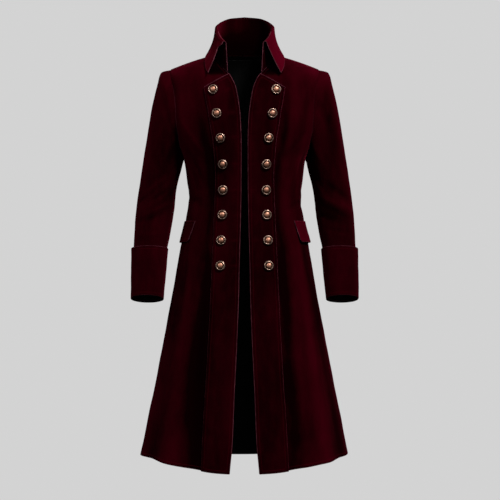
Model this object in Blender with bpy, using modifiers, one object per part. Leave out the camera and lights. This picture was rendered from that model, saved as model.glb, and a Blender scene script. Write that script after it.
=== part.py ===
# A frock coat filled out as if worn. Metres, +Z up, the coat faces -Y and the wearer's left is at +X.
# The origin is in the middle of the neck opening, level with the point where collar meets shoulder.
import bpy
import bmesh
import numpy as np
from mathutils import Vector

CLOTH = 0.0025  # wall of fronts, backs and sleeves
PANEL = 0.0028  # wall of the turned-back front panels
GAP = 0.0003  # between pieces that are sewn together
LAPEL_CLEARANCE = 0.0008  # panel above the front
LAPEL_LIFT = 0.001  # more of it where the lapel is cut across the front's own points
BUTTON_CLEARANCE = 0.0007
SQUARENESS = 2.5  # exponent of the body's cross-section, where 2 would be an ellipse
ARM_TOP, ARM_BOTTOM = -0.0345, -0.278
ARM_FRONT, ARM_BACK = 0.070, 0.062  # depth of the armhole before and behind the side line
WAIST = -0.386
SIDE_HEM = -1.069
FRONT_HEM, BACK_HEM = -1.097, -1.101
NECK_POINT = 0.010
BUTTON_RADIUS, BUTTON_HEIGHT = 0.0128, 0.0085

# Half width, front depth and back depth of the body at each height of the side line.
BODY = {
    "z": [0.012, 0.0, -0.008, -0.019, -0.029, -0.0345, -0.058, -0.080, -0.120, -0.164, -0.200,
          -0.2145, -0.245, -0.278, -0.300, -0.343, -0.3645, -0.386, -0.408, -0.429, -0.451, -0.494,
          -0.537, -0.5805, -0.624, -0.710, -0.7965, -0.883, -0.969, -1.0125, -1.069],
    "width": [0.078, 0.106, 0.131, 0.162, 0.187, 0.200, 0.2050, 0.205, 0.204, 0.202, 0.196,
              0.191, 0.1795, 0.164, 0.160, 0.155, 0.152, 0.152, 0.154, 0.158, 0.161, 0.170,
              0.1775, 0.1845, 0.192, 0.2075, 0.2235, 0.2395, 0.257, 0.265, 0.2765],
    "front": [0.004, 0.040, 0.052, 0.066, 0.0785, 0.0860, 0.111, 0.119, 0.125, 0.128, 0.128,
              0.1275, 0.1255, 0.122, 0.119, 0.113, 0.111, 0.110, 0.1105, 0.112, 0.1135, 0.118,
              0.123, 0.128, 0.134, 0.148, 0.161, 0.173, 0.186, 0.192, 0.200],
    "back": [0.075, 0.088, 0.093, 0.100, 0.104, 0.106, 0.112, 0.116, 0.120, 0.122, 0.122,
             0.121, 0.117, 0.112, 0.108, 0.100, 0.098, 0.097, 0.099, 0.102, 0.107, 0.118,
             0.127, 0.135, 0.141, 0.152, 0.163, 0.174, 0.185, 0.192, 0.200],
}
# Half distance between the front edges, and the outer edge of the turned-back panel.
FRONT_EDGE = {
    "z": [-0.0575, -0.0746, -0.0877, -0.1258, -0.1744, -0.2426, -0.3372, -0.458, -0.5786, -0.6176,
          -0.7442, -0.8724, -0.9994, -1.0454, -1.097],
    "edge": [0.0400, 0.0302, 0.0242, 0.0160, 0.0102, 0.0080, 0.0083, 0.0105, 0.0138, 0.0144,
             0.0192, 0.0256, 0.0310, 0.0355, 0.0405],
}
PANEL_EDGE = {
    "z": [-0.0575, -0.0943, -0.1822, -0.2426, -0.303, -0.3293, -0.416, -0.5131, -0.6098, -0.8416,
          -0.9562, -1.097],
    "edge": [0.1065, 0.1024, 0.0919, 0.0822, 0.0775, 0.0765, 0.0796, 0.0840, 0.0883, 0.1008,
             0.1092, 0.1170],
}
# Neck seam of the front: half width at each height.
NECK = {"z": [-0.058, -0.030, -0.008, 0.012], "x": [0.0400, 0.0620, 0.0745, 0.0780]}
# Folds of the skirt: angle from the middle of the front at the waist and at the hem, how far each
# stands out at the hem, its half width in degrees, and how far below the waist it begins.
FOLD_COLUMNS = ("waist_angle", "hem_angle", "height", "spread", "start")
FOLDS = {
    "left": [
        (32, 24, -0.006, 6, 0.06),
        (40, 33, 0.004, 6, 0.12),
        (57, 46, 0.010, 8, 0.05),
        (72, 66, -0.006, 8, 0.10),
        (91, 90, 0.003, 9, 0.12),
        (108, 112, -0.006, 9, 0.06),
        (124, 131, 0.010, 9, 0.05),
        (146, 151, -0.007, 9, 0.10),
        (164, 168, 0.006, 7, 0.06),
    ],
    "right": [
        (32, 23, -0.008, 7, 0.05),
        (50, 42, 0.008, 9, 0.06),
        (66, 62, -0.005, 8, 0.12),
        (80, 79, 0.006, 8, 0.08),
        (98, 99, -0.005, 8, 0.10),
        (113, 118, 0.009, 9, 0.05),
        (131, 138, -0.007, 9, 0.08),
        (150, 156, 0.009, 8, 0.07),
        (168, 171, -0.004, 6, 0.10),
    ],
}
# Sleeve rings: outer and inner point of each in the front view, half depth, how far forward its
# middle is, and how much higher its front is for each metre of depth.
SLEEVE_COLUMNS = ("outer_x", "outer_z", "inner_x", "inner_z", "depth", "forward", "tilt")
SLEEVE = [
    (0.2030, -0.0348, 0.1641, -0.2784, 0.0664, 0.004, 0.00),
    (0.2160, -0.0370, 0.1646, -0.2792, 0.0675, 0.003, 0.00),
    (0.2268, -0.0408, 0.1652, -0.2802, 0.0690, 0.002, 0.00),
    (0.2325, -0.0522, 0.1660, -0.2820, 0.0700, 0.000, 0.00),
    (0.2362, -0.0700, 0.1668, -0.2840, 0.0708, -0.002, 0.00),
    (0.2435, -0.1000, 0.1680, -0.2875, 0.0710, -0.003, 0.00),
    (0.2520, -0.1400, 0.1700, -0.2960, 0.0700, -0.005, 0.00),
    (0.2605, -0.1900, 0.1735, -0.3090, 0.0690, -0.006, 0.00),
    (0.2710, -0.2550, 0.1800, -0.3330, 0.0670, -0.006, 0.02),
    (0.2815, -0.3250, 0.1865, -0.3680, 0.0645, -0.003, 0.04),
    (0.2900, -0.3840, 0.1905, -0.4070, 0.0625, 0.002, 0.07),
    (0.2950, -0.4370, 0.1962, -0.4480, 0.0605, 0.010, 0.10),
    (0.2972, -0.4780, 0.2020, -0.4830, 0.0585, 0.018, 0.13),
    (0.2984, -0.5150, 0.2090, -0.5165, 0.0565, 0.024, 0.15),
    (0.3005, -0.5800, 0.2160, -0.5800, 0.0550, 0.034, 0.18),
    (0.3020, -0.6480, 0.2212, -0.6480, 0.0540, 0.046, 0.215),
]
CUFF = [
    (0.3050, -0.5180, 0.2056, -0.5180, 0.0620, 0.0245, 0.15),
    (0.3052, -0.5600, 0.2090, -0.5600, 0.0605, 0.031, 0.16),
    (0.3052, -0.6050, 0.2130, -0.6050, 0.0585, 0.038, 0.19),
    (0.3052, -0.6520, 0.2172, -0.6520, 0.0570, 0.0465, 0.215),
]
# Collar, from the middle of the back to its front end along the neck seam: the top of the roll,
# the radius of the roll, and the lower edge of the turned-down part.
COLLAR_COLUMNS = ("at", "roll", "radius", "lower")
COLLAR = [
    (0.00, (0.000, 0.0780, 0.1215), 0.0050, (0.000, 0.1000, 0.0035)),
    (0.20, (0.040, 0.0690, 0.1165), 0.0050, (0.053, 0.0925, 0.0045)),
    (0.36, (0.066, 0.0380, 0.1010), 0.0050, (0.091, 0.0600, 0.0055)),
    (0.50, (0.0755, -0.0050, 0.0840), 0.0052, (0.1050, 0.0060, 0.0052)),
    (0.68, (0.0725, -0.0440, 0.0660), 0.0056, (0.1072, -0.0535, -0.0120)),
    (0.85, (0.0650, -0.0810, 0.0450), 0.0062, (0.1045, -0.0900, -0.0360)),
    (1.00, (0.0535, -0.1050, 0.0300), 0.0068, (0.0970, -0.1160, -0.0550)),
]
FALL_HOLLOW = 0.0055  # how far the turned-down part curves in, except at its front ends
# Pocket flap: angles of its ends in degrees, how far its front end slants, and its heights.
FLAP = 0.0022
FLAP_START, FLAP_END, FLAP_SLANT = 50.5, 107, 3.8
FLAP_TOP, FLAP_DEPTH, FLAP_DROP, FLAP_CORNER = -0.444, 0.056, 0.003, 0.10
FLAP_CLEARANCE, FLAP_LIFT = 0.0009, 0.004
# Buttons on one panel, from the lapel down: distance from the middle and height.
BUTTONS = [(0.0819, -0.1000), (0.0724, -0.1625), (0.0627, -0.2268), (0.0568, -0.2950),
           (0.0561, -0.3627), (0.0579, -0.4290), (0.0607, -0.4965), (0.0629, -0.5638)]
# Turned outline of a button from its middle down to its back, as shares of its radius and height.
BUTTON_COLUMNS = ("radius", "height")
BUTTON_PROFILE = [(0.0, 1.0), (0.42, 0.88), (0.68, 0.42), (0.92, 0.55), (1.0, 0.30), (0.92, 0.0), (0.0, 0.0)]
BUTTON_STEPS = 12
COLOURS = {
    "velvet": ((0.050, 0.002, 0.010), 0.85, 0.0),
    "lining": ((0.006, 0.006, 0.006), 0.6, 0.0),
    "brass": ((0.42, 0.25, 0.14), 0.35, 1.0),
}


def smooth(table, column, at, key="z"):
    """Monotone cubic through the rows of a table: Hermite pieces with harmonic mean slopes."""
    x, y = np.array(table[key], float), np.array(table[column], float)
    if x[0] > x[-1]:
        x, y = x[::-1], y[::-1]
    step = np.diff(y) / np.diff(x)
    slope = np.zeros(len(x))
    same = step[1:] * step[:-1] > 0
    slope[1:-1][same] = 2 * (step[1:] * step[:-1])[same] / (step[1:] + step[:-1])[same]
    slope[0], slope[-1] = step[0], step[-1]
    at = np.clip(at, x[0], x[-1])
    i = np.clip(np.searchsorted(x, at) - 1, 0, len(x) - 2)
    h = x[i + 1] - x[i]
    t = (at - x[i]) / h
    return ((1 + 2 * t) * (1 - t) ** 2 * y[i] + t * (1 - t) ** 2 * h * slope[i]
            + t**2 * (3 - 2 * t) * y[i + 1] + t**2 * (t - 1) * h * slope[i + 1])


def named(rows, columns):
    """The rows of a tuple table as arrays by column name."""
    return {name: np.array([row[k] for row in rows], float) for k, name in enumerate(columns)}


def body(angle, z, side):
    """Point on the outside of the body. |x/w|^n + |y/d|^n = 1 at each height, with folds below the waist."""
    sine, cosine = np.sin(angle), np.cos(angle)
    power = 2 / SQUARENESS
    depth = np.where(cosine > 0, smooth(BODY, "front", z), smooth(BODY, "back", z))
    across = np.abs(sine) ** power
    along = -np.sign(cosine) * np.abs(cosine) ** power
    x, y = np.sign(sine) * smooth(BODY, "width", z) * across, depth * along
    below = np.clip((WAIST - z) / (WAIST - SIDE_HEM), 0, 1)
    out = np.zeros_like(x)
    folds = named(FOLDS[side], FOLD_COLUMNS)
    for waist_angle, hem_angle, height, spread, start in zip(*folds.values()):
        centre = waist_angle + (hem_angle - waist_angle) * below
        grown = np.clip((WAIST - start - z) / (WAIST - SIDE_HEM - start), 0, 1)
        out = out + height * grown**1.2 * np.exp(-(((np.degrees(angle) - centre) / spread) ** 2))
    length = np.hypot(x, y) + 1e-9
    hem = np.where(cosine > 0, FRONT_HEM, BACK_HEM)
    hem = SIDE_HEM + (hem - SIDE_HEM) * np.abs(cosine) ** 4.2
    drop = (hem - WAIST) / (SIDE_HEM - WAIST)
    level = np.where(z < WAIST, WAIST + (z - WAIST) * drop, z)
    rise = 0.006 * np.clip((z + 0.03) / 0.04, 0, 1) * np.clip(-cosine, 0, 1)
    return np.stack([x + out * x / length, y + out * y / length, level + rise], -1)


def body_normal(angle, z, side):
    """Direction square to the body: cross product of its two central differences."""
    da, dz = 2e-3, 1e-3
    around = body(angle + da, z, side) - body(angle - da, z, side)
    up = body(angle, z + dz, side) - body(angle, z - dz, side)
    return unit(np.cross(around, up))


def unit(vectors):
    return vectors / (np.linalg.norm(vectors, axis=-1, keepdims=True) + 1e-12)


def angle_of_depth(y, z):
    """Angle of the point at depth y of the cross-section, where y is negative in front."""
    depth = np.where(y < 0, smooth(BODY, "front", z), smooth(BODY, "back", z))
    return np.arccos(np.clip(-np.sign(y) * (np.abs(y) / depth) ** (SQUARENESS / 2), -1, 1))


def angle_of_width(x, z):
    return np.arcsin(np.clip(x / smooth(BODY, "width", z), 0, 1) ** (SQUARENESS / 2))


def armhole_depth(z, deepest):
    """Half ellipse between armpit and shoulder, and half a gap elsewhere, where the pieces meet."""
    middle, half = (ARM_TOP + ARM_BOTTOM) / 2, (ARM_TOP - ARM_BOTTOM) / 2
    inside = np.clip(1 - ((z - middle) / half) ** 2, 0, 1)
    return np.maximum(deepest * np.sqrt(inside), GAP / 2)


def heights():
    """Row heights of the body: hem to waist, waist to armpit, round the armhole, over the shoulder."""
    middle, half = (ARM_TOP + ARM_BOTTOM) / 2, (ARM_TOP - ARM_BOTTOM) / 2
    skirt = np.linspace(SIDE_HEM, WAIST, 11)[:-1]
    chest = np.linspace(WAIST, ARM_BOTTOM, 5)[:-1]
    armhole = middle - half * np.cos(np.linspace(0, np.pi, 11))
    lapel = np.array([-0.0575])
    shoulder = np.array([-0.030, -0.019, -0.008, 0.001, NECK_POINT])
    armhole = armhole[np.abs(armhole + 0.0575) > 0.004]
    return np.sort(np.concatenate([skirt, chest, armhole, lapel, shoulder]))


def spread(start, end, count):
    """Columns between two curves of angles."""
    t = np.linspace(0, 1, count + 1)
    return start[:, None] + (end - start)[:, None] * t


def front_angles(z):
    """Angles of the front's columns: four for the turned-back panel, then nine to the side."""
    open_edge = np.where(z < -0.0575, smooth(FRONT_EDGE, "edge", z), smooth(NECK, "x", z))
    start = angle_of_width(open_edge, z)
    end = angle_of_depth(-armhole_depth(z, ARM_FRONT), z)
    panel = angle_of_width(smooth(PANEL_EDGE, "edge", z), z)
    share = np.clip((panel - start) / (end - start), 0.05, 0.75)
    top = np.clip((z + 0.0575) / (NECK_POINT + 0.0575), 0, 1)
    panel = start + (end - start) * (share * (1 - top) + 0.3 * top)
    return np.hstack([spread(start, panel, 4), spread(panel, end, 9)[:, 1:]])


def back_angles(z):
    start = angle_of_depth(armhole_depth(z, ARM_BACK), z)
    seam = np.pi - (GAP / 2 / smooth(BODY, "width", z)) ** (SQUARENESS / 2)
    return spread(start, seam, 11)


def mirrored(points, side):
    return points * (np.array([-1, 1, 1]) if side == "right" else 1)


def material(finish):
    """A new Principled material of one of the finishes."""
    shade, rough, metal = COLOURS[finish]
    made = bpy.data.materials.new(finish)
    made.use_nodes = True
    shader = made.node_tree.nodes["Principled BSDF"]
    shader.inputs["Base Color"].default_value = (*shade, 1)
    shader.inputs["Roughness"].default_value = rough
    shader.inputs["Metallic"].default_value = metal
    return made


def mesh_object(name, points, faces, colour):
    mesh = bpy.data.meshes.new(name)
    mesh.from_pydata(np.asarray(points).tolist(), [], [list(map(int, face)) for face in faces])
    built = bmesh.new()
    built.from_mesh(mesh)
    bmesh.ops.remove_doubles(built, verts=built.verts, dist=1e-6)
    bmesh.ops.recalc_face_normals(built, faces=built.faces)
    bmesh.ops.triangulate(built, faces=built.faces)
    built.to_mesh(mesh)
    built.free()
    thing = bpy.data.objects.new(name, mesh)
    COLLECTION.objects.link(thing)
    mesh.materials.append(material(colour))
    return thing


def wall(name, outer, inner, colour="velvet", ring=False):
    """Closed wall between two grids of points. With ring, the last column joins the first."""
    rows, columns = outer.shape[:2]
    index = np.arange(rows * columns).reshape(rows, columns)
    if ring:
        index = np.hstack([index, index[:, :1]])
    other = index + rows * columns

    def quads(a, b, c, d):
        return np.stack([a, b, c, d], -1).reshape(-1, 4)

    faces = [quads(index[:-1, :-1], index[:-1, 1:], index[1:, 1:], index[1:, :-1]),
             quads(other[:-1, :-1], other[1:, :-1], other[1:, 1:], other[:-1, 1:])]
    for line in (0, -1):
        faces.append(quads(index[line, :-1], index[line, 1:], other[line, 1:], other[line, :-1]))
        if not ring:
            faces.append(quads(index[:-1, line], index[1:, line], other[1:, line], other[:-1, line]))
    points = np.concatenate([outer.reshape(-1, 3), inner.reshape(-1, 3)])
    return mesh_object(name, points, np.concatenate(faces), colour)


def body_panels(side):
    """Front, back and turned-back panel of one side. Returns the back's points and normals for the lining."""
    z = heights()
    level = z[:, None]
    grids = {}
    for part, angles in (("front", front_angles(z)), ("back", back_angles(z))):
        points, normals = body(angles, level, side), body_normal(angles, level, side)
        grids[part] = points, normals
        wall(f"{part}_{side}", mirrored(points, side), mirrored(points - CLOTH * normals, side))
    points, normals = grids["front"]
    lapel = z <= -0.0575 + 1e-6
    points, normals = points[lapel, :5].copy(), normals[lapel, :5]
    drop = np.interp(points[:, :, 2], [FRONT_HEM, -1.0], [0.002, 0])
    points[:, :, 2] -= drop
    slope = np.linspace(0, 0.036, 5) * np.interp(z[lapel], [-0.16, -0.0575], [0, 1])[:, None]
    points[:, :, 2] -= slope
    points = settle(points, normals, slope, side)
    normals = settled_normals(points, side)
    lift = LAPEL_CLEARANCE + LAPEL_LIFT * np.interp(z[lapel], [-0.16, -0.12], [0, 1])[:, None, None]
    low, high = points + lift * normals, points + (lift + PANEL) * normals
    wall(f"front_panel_{side}", mirrored(high, side), mirrored(low, side))
    return grids["back"]


def settle(points, normals, slope, side):
    """Puts the lowered points of the lapel back on the body at their own height."""
    x, z = points[..., 0], points[..., 2]
    moved = slope > 1e-9
    angle = angle_of_width(np.clip(x, 0, 1), np.clip(z, SIDE_HEM, NECK_POINT))
    placed = body(angle, z, side)
    return np.where(moved[..., None], placed, points)


def settled_normals(points, side):
    z = np.clip(level_of(points[..., 2], points[..., 0]), SIDE_HEM, NECK_POINT)
    return body_normal(angle_of_width(points[..., 0], z), z, side)


def level_of(z, x):
    """Height at the side line that reaches this height in the front."""
    drop = (FRONT_HEM - WAIST) / (SIDE_HEM - WAIST)
    return np.where(z < WAIST, WAIST + (z - WAIST) / drop, z)


def tube_rings(rows, turns, columns=SLEEVE_COLUMNS):
    """Rings of a sleeve. cos and sin of the turn run from the outer point over the front to the inner one."""
    table = named(rows, columns)
    table = {name: values[:, None] for name, values in table.items()}
    along, over = (1 + np.cos(turns)) / 2, np.sin(turns)
    across = np.sign(over) * np.abs(over) ** 0.9
    y = -table["forward"] - table["depth"] * across
    x = table["inner_x"] + (table["outer_x"] - table["inner_x"]) * along
    z = table["inner_z"] + (table["outer_z"] - table["inner_z"]) * along
    z = z + table["tilt"] * table["depth"] * across
    return np.stack([x, y, z], -1)


def tube_wall(points, thick):
    """The same rings, moved in by the wall, square to the tube."""
    around = np.roll(points, -1, axis=1) - np.roll(points, 1, axis=1)
    along = np.gradient(points, axis=0)
    normal = unit(np.cross(around, along))
    middle = points.mean(axis=1, keepdims=True)
    facing = np.sign((normal * (points - middle)).sum(-1, keepdims=True))
    return points - thick * normal * facing


def sleeve(side):
    """Sleeve whose first ring is the armhole of front and back, moved out by the gap."""
    z = heights()
    z = z[(z > ARM_BOTTOM - 1e-6) & (z < ARM_TOP + 1e-6)]
    front = body(angle_of_depth(-armhole_depth(z, ARM_FRONT), z), z, side)
    back = body(angle_of_depth(armhole_depth(z, ARM_BACK), z), z, side)
    loop = np.concatenate([front[::-1], back[1:-1]])
    half = (ARM_TOP - ARM_BOTTOM) / 2
    turns = np.arccos(np.clip((loop[:, 2] - (ARM_TOP + ARM_BOTTOM) / 2) / half, -1, 1))
    turns[len(front):] *= -1
    turns[len(front):] += 2 * np.pi
    rings = tube_rings(SLEEVE, turns)
    bulge = loop + np.array([GAP, 0, 0]) - rings[0]
    weight = np.array([1, 0.95, 0.8, 0.55, 0.3, 0.1] + [0] * (len(SLEEVE) - 6))[:, None, None]
    rings = rings + weight * bulge
    wall(f"sleeve_{side}", mirrored(rings, side), mirrored(tube_wall(rings, CLOTH), side), ring=True)
    cuff = tube_rings(CUFF, turns)
    wall(f"cuff_{side}", mirrored(cuff, side), mirrored(tube_wall(cuff, CLOTH), side), ring=True)


def pocket_flap(side):
    """Flap from the front round the side, hung from its top seam and lifted towards its lower edge."""
    across = np.linspace(0, 1, 10)
    down = np.linspace(0, 1, 4)[:, None]
    angle = np.radians(FLAP_START + (FLAP_END - FLAP_START) * across + FLAP_SLANT * down * (1 - across))
    corner = 1 - np.clip(1 - across / 0.07, 0, 1) ** 2 * FLAP_CORNER
    level = FLAP_TOP - FLAP_DROP * across * down - FLAP_DEPTH * down * corner
    points, normals = body(angle, level, side), body_normal(angle, level, side)
    lift = (FLAP_CLEARANCE + FLAP_LIFT * down * np.ones_like(across))[..., None]
    low, high = points + lift * normals, points + (lift + FLAP) * normals
    wall(f"pocket_flap_{side}", mirrored(high, side), mirrored(low, side))


def lining(backs):
    """One sheet inside both backs, its points taken from theirs and moved in."""
    halves = []
    for side, (points, normals) in backs.items():
        inside = points - (CLOTH + 2 * GAP) * normals
        deeper = points - (CLOTH + 2 * GAP + 0.001) * normals
        halves.append((mirrored(inside, side), mirrored(deeper, side)))
    (outer, inner), (outer_right, inner_right) = halves
    outer[:, -1] = (outer[:, -1] + outer_right[:, -1]) / 2
    inner[:, -1] = (inner[:, -1] + inner_right[:, -1]) / 2
    outer = np.hstack([outer, outer_right[:, -2::-1]])
    inner = np.hstack([inner, inner_right[:, -2::-1]])
    wall("lining_back", outer[:-1], inner[:-1], "lining")


def neck_seam(places):
    """Points of the neck seam, by the share of its length from the middle of the back."""
    z = heights()
    z = z[z >= -0.0575 - 1e-6]
    back = body(back_angles(z)[-1][::-1], z[-1:], "left")
    front = body(front_angles(z)[:, 0], z, "left")[::-1]
    seam = np.concatenate([back, front])
    length = np.concatenate([[0], np.cumsum(np.linalg.norm(np.diff(seam, axis=0), axis=1))])
    found = np.stack([np.interp(np.abs(places), length / length[-1], line) for line in seam.T], -1)
    found[:, 0] *= np.sign(places)
    return found


def collar_curves(count):
    """The collar's curves at evenly spaced places, right end to left end."""
    at = np.array([row[0] for row in COLLAR])
    places = np.linspace(-1, 1, count)
    curves = {"neck": neck_seam(places)}
    for k, name in enumerate(COLLAR_COLUMNS[1:], 1):
        values = np.array([np.atleast_1d(row[k]) for row in COLLAR], float)
        found = np.stack([smooth({"at": at, "v": v}, "v", np.abs(places), "at") for v in values.T], -1)
        if found.shape[1] == 3:
            found[:, 0] *= np.sign(places)
        curves[name] = found
    return curves


def collar():
    """Stand from the neck seam to the roll, and the part that turns over it down to the shoulders."""
    curves = collar_curves(39)
    neck, roll, radius, lower = (curves[name] for name in ("neck", *COLLAR_COLUMNS[1:]))
    run = np.gradient(roll, axis=0)
    out = unit(np.cross(run, [0, 0, 1.0]))
    out *= np.sign((out[:, :2] * roll[:, :2]).sum(-1))[:, None]
    out[:, 2] = 0
    up = np.array([0, 0, 1.0])
    centre = roll - radius * up
    thick = 0.0024
    rows_out, rows_in = [], []
    for turn in np.radians([180, 135, 90, 45, 0]):
        direction = np.cos(turn) * out + np.sin(turn) * up
        rows_out.append(centre + radius * direction)
        rows_in.append(centre + (radius - thick) * direction)
    start = rows_out[-1]
    hollow = FALL_HOLLOW * (1 - 0.9 * np.abs(np.linspace(-1, 1, len(roll))) ** 8)[:, None]
    for t in (0.3, 0.65, 1.0):
        rows_out.append(start + (lower - start) * t - out * hollow * np.sin(np.pi * t))
    outer = np.array(rows_out)
    along = np.gradient(outer[4:], axis=0)
    across = np.gradient(outer[4:], axis=1)
    normal = unit(np.cross(across, along))
    normal *= np.sign((normal * out).sum(-1, keepdims=True))
    inner = np.concatenate([np.array(rows_in)[:4], outer[4:] - thick * normal])
    wall("collar_fall", outer, inner)
    top = centre - (radius - thick / 2) * out - GAP * up
    bottom = neck + (GAP + 0.0009) * up - 0.0004 * out
    t = np.linspace(0, 1, 5)[:, None, None]
    middle = bottom + (top - bottom) * t
    lean = unit(np.cross(np.gradient(middle, axis=1), np.gradient(middle, axis=0)))
    lean *= np.sign((lean * out).sum(-1, keepdims=True))
    lean[0] = lean[-1] = out
    wall("collar_stand", middle + 0.001 * lean, middle - 0.001 * lean)


def button_mesh():
    """Half outline of a button in the XZ plane, to be turned round Z."""
    table = named(BUTTON_PROFILE, BUTTON_COLUMNS)
    points = [(BUTTON_RADIUS * r, 0, BUTTON_HEIGHT * h) for r, h in zip(table["radius"], table["height"])]
    mesh = bpy.data.meshes.new("button")
    mesh.from_pydata(points, [(k, k + 1) for k in range(len(points) - 1)], [])
    mesh.materials.append(material("brass"))
    return mesh


def buttons(side):
    """Turned buttons that stand square to the panel, just clear of it."""
    outline = button_mesh()
    for number, (x, z) in enumerate(BUTTONS, 1):
        level = level_of(np.array(z), x)
        angle = angle_of_width(np.array(x), level)
        normal = body_normal(angle, level, side)
        rise = LAPEL_CLEARANCE + PANEL + BUTTON_CLEARANCE + (LAPEL_LIFT if number == 1 else 0)
        seat = mirrored(body(angle, level, side) + rise * normal, side)
        button = bpy.data.objects.new(f"button_{side}_{number}", outline)
        button.location = seat
        button.rotation_euler = Vector(mirrored(normal, side)).to_track_quat("Z", "Y").to_euler()
        screw = button.modifiers.new("turned", "SCREW")
        screw.axis = "Z"
        screw.steps = screw.render_steps = BUTTON_STEPS
        screw.use_merge_vertices = True
        screw.merge_threshold = 1e-5
        COLLECTION.objects.link(button)


for thing in list(bpy.data.objects):
    bpy.data.objects.remove(thing)
COLLECTION = bpy.data.collections.new("frock_coat")
bpy.context.scene.collection.children.link(COLLECTION)
BACKS = {}
for side in ("left", "right"):
    BACKS[side] = body_panels(side)
    sleeve(side)
    pocket_flap(side)
    buttons(side)
lining(BACKS)
collar()
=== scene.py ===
# %% [markdown]
# # A velvet frock coat, cell by cell
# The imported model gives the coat's size and place. Every piece of cloth is worked out again here on
# a finer grid, on the same surfaces, so that it can carry creases, soft edges and a woven finish.

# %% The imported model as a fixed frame
import math

import bpy
import numpy as np
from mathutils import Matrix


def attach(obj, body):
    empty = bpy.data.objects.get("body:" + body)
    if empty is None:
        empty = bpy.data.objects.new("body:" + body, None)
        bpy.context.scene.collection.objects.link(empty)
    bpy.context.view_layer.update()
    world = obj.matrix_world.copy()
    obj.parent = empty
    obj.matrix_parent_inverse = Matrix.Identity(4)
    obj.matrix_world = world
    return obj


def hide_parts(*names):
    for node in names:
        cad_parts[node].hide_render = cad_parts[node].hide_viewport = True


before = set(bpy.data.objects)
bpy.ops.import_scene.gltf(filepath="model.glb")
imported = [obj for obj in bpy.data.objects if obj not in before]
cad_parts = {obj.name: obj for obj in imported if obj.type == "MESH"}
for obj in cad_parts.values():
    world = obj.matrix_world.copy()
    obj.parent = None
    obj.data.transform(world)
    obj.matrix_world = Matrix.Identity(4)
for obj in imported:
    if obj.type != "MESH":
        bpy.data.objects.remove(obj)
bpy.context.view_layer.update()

# %% [markdown]
# ## Camera
# The photograph was taken level, from the front, at about the height of the coat's middle. A long
# lens at four metres gives the same slight perspective: the near hem corners look a touch lower.

# %% Camera
CAMERA_PLACE = (0.0142, -4.0, -0.521)
FRAME_WIDTH = 1.354  # metres seen across the picture, at the middle of the coat
camera = bpy.data.objects.new("camera", bpy.data.cameras.new("camera"))
camera.location = CAMERA_PLACE
camera.rotation_euler = (math.pi / 2, 0, 0)
camera.data.sensor_width = 36
camera.data.lens = 36 * -CAMERA_PLACE[1] / FRAME_WIDTH
bpy.context.scene.collection.objects.link(camera)
bpy.context.scene.camera = camera
print("lens:", round(camera.data.lens, 1), "mm")

# %% [markdown]
# ## Shader sums
# A finish is easier to read as a sum than as a drawing of nodes. Wire wraps the output of a node,
# and its operators add Math nodes, so that "1 - mask" is a wire again. Finish holds one material.


# %% Wires and finishes
def maths(operation, swapped=False):
    """Operator that puts a Math node behind a wire. Swapped is for the wire on the right."""
    def operator(self, other):
        sides = {0: other, 1: self} if swapped else {0: self, 1: other}
        return self.finish.node("ShaderNodeMath", {"operation": operation}, sides)
    return operator


class Wire:
    """Output of a node. Sums, differences, products and powers of wires are Math nodes."""

    def __init__(self, finish, socket):
        self.finish, self.socket = finish, socket

    __add__ = __radd__ = maths("ADD")
    __mul__ = __rmul__ = maths("MULTIPLY")
    __sub__, __rsub__ = maths("SUBTRACT"), maths("SUBTRACT", swapped=True)
    __pow__, __rpow__ = maths("POWER"), maths("POWER", swapped=True)


class Finish:
    """A Principled material. Constants sit on the shader's own sockets, the rest arrives by wire."""

    def __init__(self, name, **constants):
        self.material = bpy.data.materials.new(name)
        self.material.use_nodes = True
        self.tree = self.material.node_tree
        self.shader = self.tree.nodes["Principled BSDF"]
        for name, value in constants.items():
            self.shader.inputs[name.replace("_", " ")].default_value = value

    def node(self, kind, settings, inputs, output=0):
        """Any node: its settings first, then the values or wires of its sockets."""
        made = self.tree.nodes.new(kind)
        for name, value in settings.items():
            setattr(made, name, value)
        for name, value in inputs.items():
            if isinstance(value, Wire):
                self.tree.links.new(value.socket, made.inputs[name])
            else:
                made.inputs[name].default_value = value
        return Wire(self, made.outputs[output])

    def feed(self, name, wire):
        self.tree.links.new(wire.socket, self.shader.inputs[name])

    def place(self, stretch=(1, 1, 1)):
        """Object coordinates, stretched along each axis."""
        seen = self.node("ShaderNodeTexCoord", {}, {}, "Object")
        return self.node("ShaderNodeMapping", {}, {"Vector": seen, "Scale": stretch})

    def cloth_place(self, stretch=(1, 1, 1)):
        """Metres across and along the cloth, from the piece's UV map."""
        seen = self.node("ShaderNodeUVMap", {"uv_map": "cloth"}, {})
        return self.node("ShaderNodeMapping", {}, {"Vector": seen, "Scale": stretch})

    def noise(self, place, scale, detail=2.0, rough=0.5):
        return self.node("ShaderNodeTexNoise", {}, {"Vector": place, "Scale": scale, "Detail": detail,
                                                    "Roughness": rough})

    def attribute(self, name):
        return self.node("ShaderNodeAttribute", {"attribute_name": name}, {}, "Fac")

    def ramp(self, wire, low, high, to_low=0.0, to_high=1.0):
        """The wire between low and high, eased, as a value between to_low and to_high."""
        return self.node("ShaderNodeMapRange", {"interpolation_type": "SMOOTHSTEP"},
                         {"Value": wire, "From Min": low, "From Max": high,
                          "To Min": to_low, "To Max": to_high})

    def mix(self, share, first, second):
        """Colour between two colours, each a wire or three numbers."""
        first, second = (end if isinstance(end, Wire) else (*end, 1) for end in (first, second))
        return self.node("ShaderNodeMix", {"data_type": "RGBA"}, {0: share, 6: first, 7: second}, 2)

    def bump(self, height, distance, strength):
        return self.node("ShaderNodeBump", {}, {"Height": height, "Distance": distance,
                                                "Strength": strength})


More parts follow.
